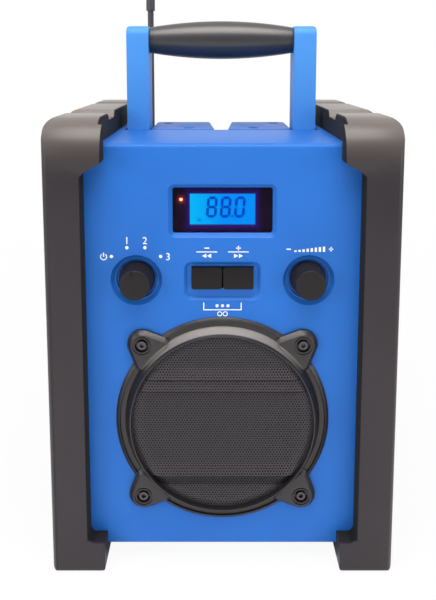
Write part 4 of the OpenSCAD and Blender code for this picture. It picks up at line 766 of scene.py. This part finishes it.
# The rounded rim at the front, where the side's long taper starts and ends, and the foot
KNOB_RIM, KNOB_RIM_MID_Y, KNOB_RIM_MID_IN = 0.7 * MM, 0.25 * MM, 0.3 * MM
KNOB_SIDE_FROM, KNOB_SIDE_TO, KNOB_FLARE = 1.6 * MM, 1.2 * MM, 0.1 * MM
KNOB_FOOT_H, KNOB_FOOT_IN = 0.5 * MM, 0.3 * MM
KNOB_RIBS = 40
RIB_DEPTH = 0.28 * MM
RIB_FROM_Y, RIB_IN = 0.5 * MM, 0.2 * MM
BORE_ROOM = 0.05 * MM
BORE_END_ROOM = 0.1 * MM
POINTER_TURN = math.radians(105)
POINTER_HALF = math.radians(2.5)
POINTER_IN_R = 5.2 * MM
POINTER_RAMP = 0.4 * MM
POINTER_DEPTH = 0.5 * MM

knob_plastic = moulded("knob_plastic", linear(30, 26, 28), linear(37, 33, 35), 0.5, 0.6 * MM,
                       0.04 * MM)


def ribbed_knob(name, node_name, shaft_name, body, with_pointer):
    """A knob turned from its profile, with ribs pressed into its side, and maybe a pointer."""
    low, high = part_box(node_name)
    shaft_low, shaft_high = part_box(shaft_name)
    length = high.y - low.y
    bore_r = (shaft_high.x - shaft_low.x) / 2 + BORE_ROOM
    bore_end = shaft_low.y - low.y - BORE_END_ROOM
    # From the middle of the front over the rounded rim, down the side and into the blind bore
    profile = [(0.0, 0.0), (0.0, POINTER_IN_R), (0.0, POINTER_IN_R + POINTER_RAMP),
               (0.0, KNOB_FRONT_R - KNOB_RIM),
               (KNOB_RIM_MID_Y, KNOB_FRONT_R - KNOB_RIM_MID_IN),
               (KNOB_RIM, KNOB_FRONT_R),
               (KNOB_SIDE_FROM, KNOB_FRONT_R + KNOB_FLARE),
               (length - KNOB_SIDE_TO, KNOB_BASE_R - KNOB_FLARE),
               (length - KNOB_FOOT_H, KNOB_BASE_R),
               (length, KNOB_BASE_R - KNOB_FOOT_IN),
               (length, bore_r), (bore_end, bore_r), (bore_end, 0.0)]
    shape = bmesh.new()
    loop = [shape.verts.new((r, y, 0)) for y, r in profile]
    edges = [shape.edges.new(pair) for pair in zip(loop, loop[1:])]
    bmesh.ops.spin(shape, geom=loop + edges, cent=(0, 0, 0), axis=(0, 1, 0), dvec=(0, 0, 0),
                   angle=math.tau, steps=KNOB_RIBS * 4, use_merge=True, use_duplicate=False)
    bmesh.ops.remove_doubles(shape, verts=shape.verts, dist=MERGE_REACH)
    for vert in shape.verts:
        radius = math.hypot(vert.co.x, vert.co.z)
        turn = math.atan2(vert.co.z, vert.co.x)
        if (with_pointer and radius > POINTER_IN_R + POINTER_RAMP / 2
                and abs(turn - POINTER_TURN) < POINTER_HALF):
            vert.co.y = max(vert.co.y, POINTER_DEPTH)
        if vert.co.y > RIB_FROM_Y and radius > KNOB_FRONT_R - RIB_IN:
            press = RIB_DEPTH * (0.5 - 0.5 * math.cos(turn * KNOB_RIBS))
            vert.co.x *= (radius - press) / radius
            vert.co.z *= (radius - press) / radius
    bmesh.ops.recalc_face_normals(shape, faces=shape.faces)
    bmesh.ops.translate(shape, verts=shape.verts,
                        vec=((low.x + high.x) / 2, low.y, (low.z + high.z) / 2))
    finish_piece(name, shape, knob_plastic, body, "knobs", node_name)


ribbed_knob("mode_dial_knob", "mode_knob", "mode_shaft", "mode_dial", with_pointer=True)
ribbed_knob("volume_dial_knob", "volume_knob", "volume_shaft", "volume_dial", with_pointer=False)

BUTTON_EDGE_R = 0.6 * MM
button_plastic = moulded("button_plastic", linear(19, 15, 18), linear(25, 21, 24), 0.42, 0.7 * MM,
                         0.03 * MM)
for key in ("back", "next"):
    finish_piece(key + "_key_cap", softened(key + "_button", BUTTON_EDGE_R), button_plastic,
                 key + "_key", "buttons", key + "_button")
dress(blue_plastic, "button_frame")


# ---------------------------------------------------------------- printed marks
# White ink on the face: a dot and a plain number for each mode, the off sign, minus and plus
# signs with a wedge for the volume, and the marks over and under the two buttons.
INK_T = 0.05 * MM
LINE_W = 0.75 * MM
ROUND_STEPS = 20

ink = bmesh.new()


def dot(x, z, radius):
    turn = Matrix.Rotation(math.pi / 2, 4, "X")
    bmesh.ops.create_circle(ink, cap_ends=True, segments=ROUND_STEPS, radius=radius,
                            matrix=Matrix.Translation((x, 0, z)) @ turn)


def box_mark(x0, x1, z0, z1):
    matrix = (Matrix.Translation(((x0 + x1) / 2, 0, (z0 + z1) / 2))
              @ Matrix.Diagonal((x1 - x0, z1 - z0, z1 - z0, 1))
              @ Matrix.Rotation(math.pi / 2, 4, "X"))
    bmesh.ops.create_grid(ink, x_segments=1, y_segments=1, size=0.5, matrix=matrix)


def ring_mark(x, z, radius, width, start, end):
    """An open ring of ink from one angle to another, in degrees from straight up."""
    inner_r = radius - width / 2
    inner = []
    for step in range(ROUND_STEPS + 1):
        turn = math.radians(start + (end - start) * step / ROUND_STEPS)
        inner.append(ink.verts.new((x + inner_r * math.sin(turn), 0, z + inner_r * math.cos(turn))))
    edges = [ink.edges.new(pair) for pair in zip(inner, inner[1:])]
    made = bmesh.ops.extrude_edge_only(ink, edges=edges)["geom"]
    for vert in made:
        if isinstance(vert, bmesh.types.BMVert):
            offset = Vector((vert.co.x - x, 0, vert.co.z - z))
            vert.co += offset.normalized() * width


# How much of the letter size is the height of a numeral
NUMERAL_SHARE = 0.72


def number(text, x, z, height):
    """A plain numeral of the built-in face, made a mesh before it is placed."""
    curve = bpy.data.curves.new("numeral", "FONT")
    curve.body = text
    curve.align_x = "CENTER"
    holder = bpy.data.objects.new("numeral", curve)
    scene.collection.objects.link(holder)
    bpy.context.view_layer.update()
    mesh = bpy.data.meshes.new_from_object(holder)
    mesh.transform(Matrix.Translation((x, 0, z - height / 2))
                   @ Matrix.Rotation(math.pi / 2, 4, "X")
                   @ Matrix.Scale(height / NUMERAL_SHARE, 4))
    ink.from_mesh(mesh)
    bpy.data.objects.remove(holder)
    bpy.data.meshes.remove(mesh)
    bpy.data.curves.remove(curve)


# Round the mode knob: a dot for each place, an open ring with a stroke for off, and 1 to 3
DOT_R = 1.05 * MM
DOT_REACH = 21.4 * MM
NUMBER_H = 4.6 * MM
NUMBER_UP, NUMBER_ASIDE = 4.6 * MM, 4.5 * MM
OFF_ASIDE = 4.8 * MM
OFF_R = 1.9 * MM
OFF_DROP = 0.2 * MM
OFF_STROKE_TOP = 2.4 * MM
OFF_LINE_W = 0.9 * LINE_W
OFF_OPENING = 35
knob_low, knob_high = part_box("mode_knob")
dial_x = (knob_low.x + knob_high.x) / 2
dial_z = (knob_low.z + knob_high.z) / 2
for angle, label in ((135, "off"), (105, "1"), (75, "2"), (45, "3")):
    turn = math.radians(angle)
    x = dial_x + DOT_REACH * math.cos(turn)
    z = dial_z + DOT_REACH * math.sin(turn)
    dot(x, z, DOT_R)
    if label == "off":
        x -= OFF_ASIDE
        ring_mark(x, z - OFF_DROP, OFF_R, OFF_LINE_W, OFF_OPENING, 360 - OFF_OPENING)
        box_mark(x - OFF_LINE_W / 2, x + OFF_LINE_W / 2, z - OFF_DROP, z + OFF_STROKE_TOP)
    elif label == "3":
        number(label, x + NUMBER_ASIDE, z, NUMBER_H)
    else:
        number(label, x, z + NUMBER_UP, NUMBER_H)

# Over the volume knob: a minus, bars that grow to the right, and a plus
MARKS_UP = 19.7 * MM
MINUS_X, PLUS_X = -12.6 * MM, 13.4 * MM
SIGN_HALF = 1.35 * MM
WEDGE_X = 0.3 * MM
WEDGE_BARS = 8
WEDGE_STEP = 2.5 * MM
WEDGE_FOOT = 1.7 * MM
BAR_HALF_W = 0.7 * MM
BAR_LOW_H, BAR_GROWTH = 1.0 * MM, 2.4 * MM
volume_low, volume_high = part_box("volume_knob")
volume_x = (volume_low.x + volume_high.x) / 2
mark_z = dial_z + MARKS_UP
for sign_x in (MINUS_X, PLUS_X):
    box_mark(volume_x + sign_x - SIGN_HALF, volume_x + sign_x + SIGN_HALF, mark_z - LINE_W / 2,
             mark_z + LINE_W / 2)
box_mark(volume_x + PLUS_X - LINE_W / 2, volume_x + PLUS_X + LINE_W / 2, mark_z - SIGN_HALF,
         mark_z + SIGN_HALF)
for step in range(WEDGE_BARS):
    bar_x = volume_x + WEDGE_X + (step - (WEDGE_BARS - 1) / 2) * WEDGE_STEP
    bar_h = BAR_LOW_H + BAR_GROWTH * step / (WEDGE_BARS - 1)
    box_mark(bar_x - BAR_HALF_W, bar_x + BAR_HALF_W, mark_z - WEDGE_FOOT,
             mark_z - WEDGE_FOOT + bar_h)

# Over each button: a line, a minus or plus on it, and a double triangle under it
KEYS_X = 9.7 * MM
LINE_UP = 8.9 * MM
LINE_HALF_W, LINE_HALF_H = 6.4 * MM, 0.3 * MM
KEY_SIGN_UP = 2.4 * MM
KEY_SIGN_HALF, KEY_SIGN_HALF_T = 1.5 * MM, 0.35 * MM
ARROW_STEP = 1.5 * MM
ARROW_ASIDE = 1.4 * MM
ARROW_DROP = 2.5 * MM
ARROW_W, ARROW_HALF_H = 2.6 * MM, 1.4 * MM
line_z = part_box("back_button")[1].z + LINE_UP
sign_z = line_z + KEY_SIGN_UP
for sign in (-1, 1):
    x = sign * KEYS_X
    box_mark(x - LINE_HALF_W, x + LINE_HALF_W, line_z - LINE_HALF_H, line_z + LINE_HALF_H)
    box_mark(x - KEY_SIGN_HALF, x + KEY_SIGN_HALF, sign_z - KEY_SIGN_HALF_T,
             sign_z + KEY_SIGN_HALF_T)
    if sign > 0:
        box_mark(x - KEY_SIGN_HALF_T, x + KEY_SIGN_HALF_T, sign_z - KEY_SIGN_HALF,
                 sign_z + KEY_SIGN_HALF)
    for step in (-1, 1):
        tip_x = x + sign * (step * ARROW_STEP + ARROW_ASIDE)
        back_x = tip_x - sign * ARROW_W
        arrow_z = line_z - ARROW_DROP
        corners = [ink.verts.new((tip_x, 0, arrow_z)),
                   ink.verts.new((back_x, 0, arrow_z + ARROW_HALF_H)),
                   ink.verts.new((back_x, 0, arrow_z - ARROW_HALF_H))]
        bmesh.ops.contextual_create(ink, geom=corners)

# Under the buttons: a bracket with three dots in it and two small rings below it
BRACKET_HALF_W = 11.9 * MM
BRACKET_DROP, BRACKET_H = 1.4 * MM, 4.3 * MM
BRACKET_LINE_W = 0.6 * MM
BRACKET_DOT_R = 1.0 * MM
BRACKET_DOT_UP, BRACKET_DOT_PITCH = 2.3 * MM, 3.4 * MM
RING_X = 1.7 * MM
RING_DROP = 2.9 * MM
RING_R, RING_LINE_W = 1.35 * MM, 0.55 * MM
bracket_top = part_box("button_frame")[0].z - BRACKET_DROP
bracket_low = bracket_top - BRACKET_H
box_mark(-BRACKET_HALF_W, -BRACKET_HALF_W + BRACKET_LINE_W, bracket_low, bracket_top)
box_mark(BRACKET_HALF_W - BRACKET_LINE_W, BRACKET_HALF_W, bracket_low, bracket_top)
box_mark(-BRACKET_HALF_W, BRACKET_HALF_W, bracket_low - BRACKET_LINE_W, bracket_low)
for place in (-1, 0, 1):
    dot(place * BRACKET_DOT_PITCH, bracket_low + BRACKET_DOT_UP, BRACKET_DOT_R)
for sign in (-1, 1):
    ring_mark(sign * RING_X, bracket_low - RING_DROP, RING_R, RING_LINE_W, 0, 360)

thicken(ink, INK_T)
bmesh.ops.translate(ink, verts=ink.verts, vec=(0, face_y, 0))

WORN_FROM, WORN_TO = 0.3, 0.6
white_ink = Finish("white_ink")
wear = white_ink.noise(0.6 * MM, 3.0)
white_ink.put("Base Color", white_ink.mix(wear.clipped(WORN_FROM, WORN_TO),
                                          linear(214, 228, 246), linear(246, 249, 253)))
white_ink.put("Roughness", 0.5)
white_ink.bump(wear, 0.01 * MM)
finish_piece("printed_marks", ink, white_ink.material, "chassis", "washers")


# ---------------------------------------------------------------- boards and switches
# Two green circuit boards on posts: one behind the face with the switches of the knobs and
# buttons, and one with the heat sink, the screened tuner and the capacitors.
WEAVE_STRETCH = (1, 1, 6)
board_green = Finish("board_green")
weave = board_green.noise(0.8 * MM, stretch=WEAVE_STRETCH)
board_green.put("Base Color", board_green.mix(weave, linear(16, 78, 42), linear(30, 106, 62)))
board_green.put("Roughness", 0.35)
board_green.bump(weave, 0.02 * MM)
tin = metal("tinned_steel", linear(182, 184, 188), 0.3, 1.5 * MM)
aluminium = metal("plain_aluminium", linear(172, 174, 178), 0.36, 1 * MM)
dress(board_green.material, "control_board", "main_board")
dress(tin, "board_parts", "tact_switches", "mode_switch", "volume_encoder")
dress(aluminium, "heat_sink")


# ---------------------------------------------------------------- sockets, battery bay and lids
# Black moulded housings at the back: the socket pocket with its hinged cover, and the bay for
# four cells with a hinged door and a coin-slot lock.
inner_plastic = moulded("inner_plastic", linear(40, 39, 41), linear(48, 47, 49), 0.55, 1 * MM,
                        0.05 * MM)
lid_plastic = moulded("lid_plastic", linear(58, 55, 58), linear(66, 63, 65), 0.55, 0.8 * MM,
                      0.05 * MM)
nickel = metal("nickel", linear(200, 198, 190), 0.22, 0.6 * MM)
dress(inner_plastic, "socket_housing", "signal_socket", "power_socket", "battery_box",
      "antenna_base")
LID_EDGE_R = 0.5 * MM
LID_RIB_PITCH = 5.0 * MM
LID_RIB_W = 1.8 * MM
LID_RIB_TOP_SHARE = 0.6
LID_RIB_RISE = 0.8 * MM
LID_MARGIN = 7.0 * MM
LOCK_ROOM = 15.0 * MM


def ribbed_lid(name, node_name, body, room_above):
    """A copy of a CAD lid with level grip ribs on its outer face."""
    low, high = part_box(node_name)
    shape = softened(node_name, LID_EDGE_R)
    top = high.z - room_above - LID_MARGIN
    steps = int((top - low.z - LID_MARGIN) / LID_RIB_PITCH)
    width = high.x - low.x - 2 * LID_MARGIN
    for step in range(steps + 1):
        rib_z = top - step * LID_RIB_PITCH
        matrix = (Matrix.Translation(((low.x + high.x) / 2, high.y, rib_z))
                  @ Matrix.Diagonal((width, 2 * LID_RIB_RISE, LID_RIB_W, 1)))
        for vert in bmesh.ops.create_cube(shape, size=1, matrix=matrix)["verts"]:
            if vert.co.y > high.y:
                vert.co.z = rib_z + (vert.co.z - rib_z) * LID_RIB_TOP_SHARE
    finish_piece(name, shape, lid_plastic, body, "lids", node_name)


ribbed_lid("battery_lid_panel", "battery_door", "battery_lid", room_above=LOCK_ROOM)
ribbed_lid("socket_lid_panel", "socket_cover", "socket_flap", room_above=0)
dress(nickel, "battery_springs", "door_lock")

# The cells lie end to end: their sleeves are black round the middle of the box, gold beyond
GOLD_FROM_X = 20 * MM
GOLD_BLUR = 0.6 * MM
sleeve = Finish("cell_sleeve")
gold = (sleeve.axis("X").combine("ABSOLUTE", 0.0) - GOLD_FROM_X).clipped(0, GOLD_BLUR)
scuffs = sleeve.noise(4 * MM, 3.0)
sleeve.put("Base Color", sleeve.mix(gold, linear(44, 42, 44), linear(198, 152, 62)))
sleeve.put("Roughness", scuffs * 0.2 + 0.22)
dress(sleeve.material, "battery_cells")


# ---------------------------------------------------------------- antenna
# A flexible rod with a rubber sleeve and a thicker tip, moulded in one piece. It tilts
# backwards on the pin of its base, which is pegged to the back of the case.
ROD_EDGE_R = 1.1 * MM
antenna_rubber = moulded("antenna_rubber", linear(62, 60, 64), linear(72, 70, 74), 0.45, 0.8 * MM,
                         0.04 * MM, gloss=0.5)
finish_piece("antenna_whip", softened("antenna_rod", ROD_EDGE_R), antenna_rubber, "aerial",
             "antenna", "antenna_rod")
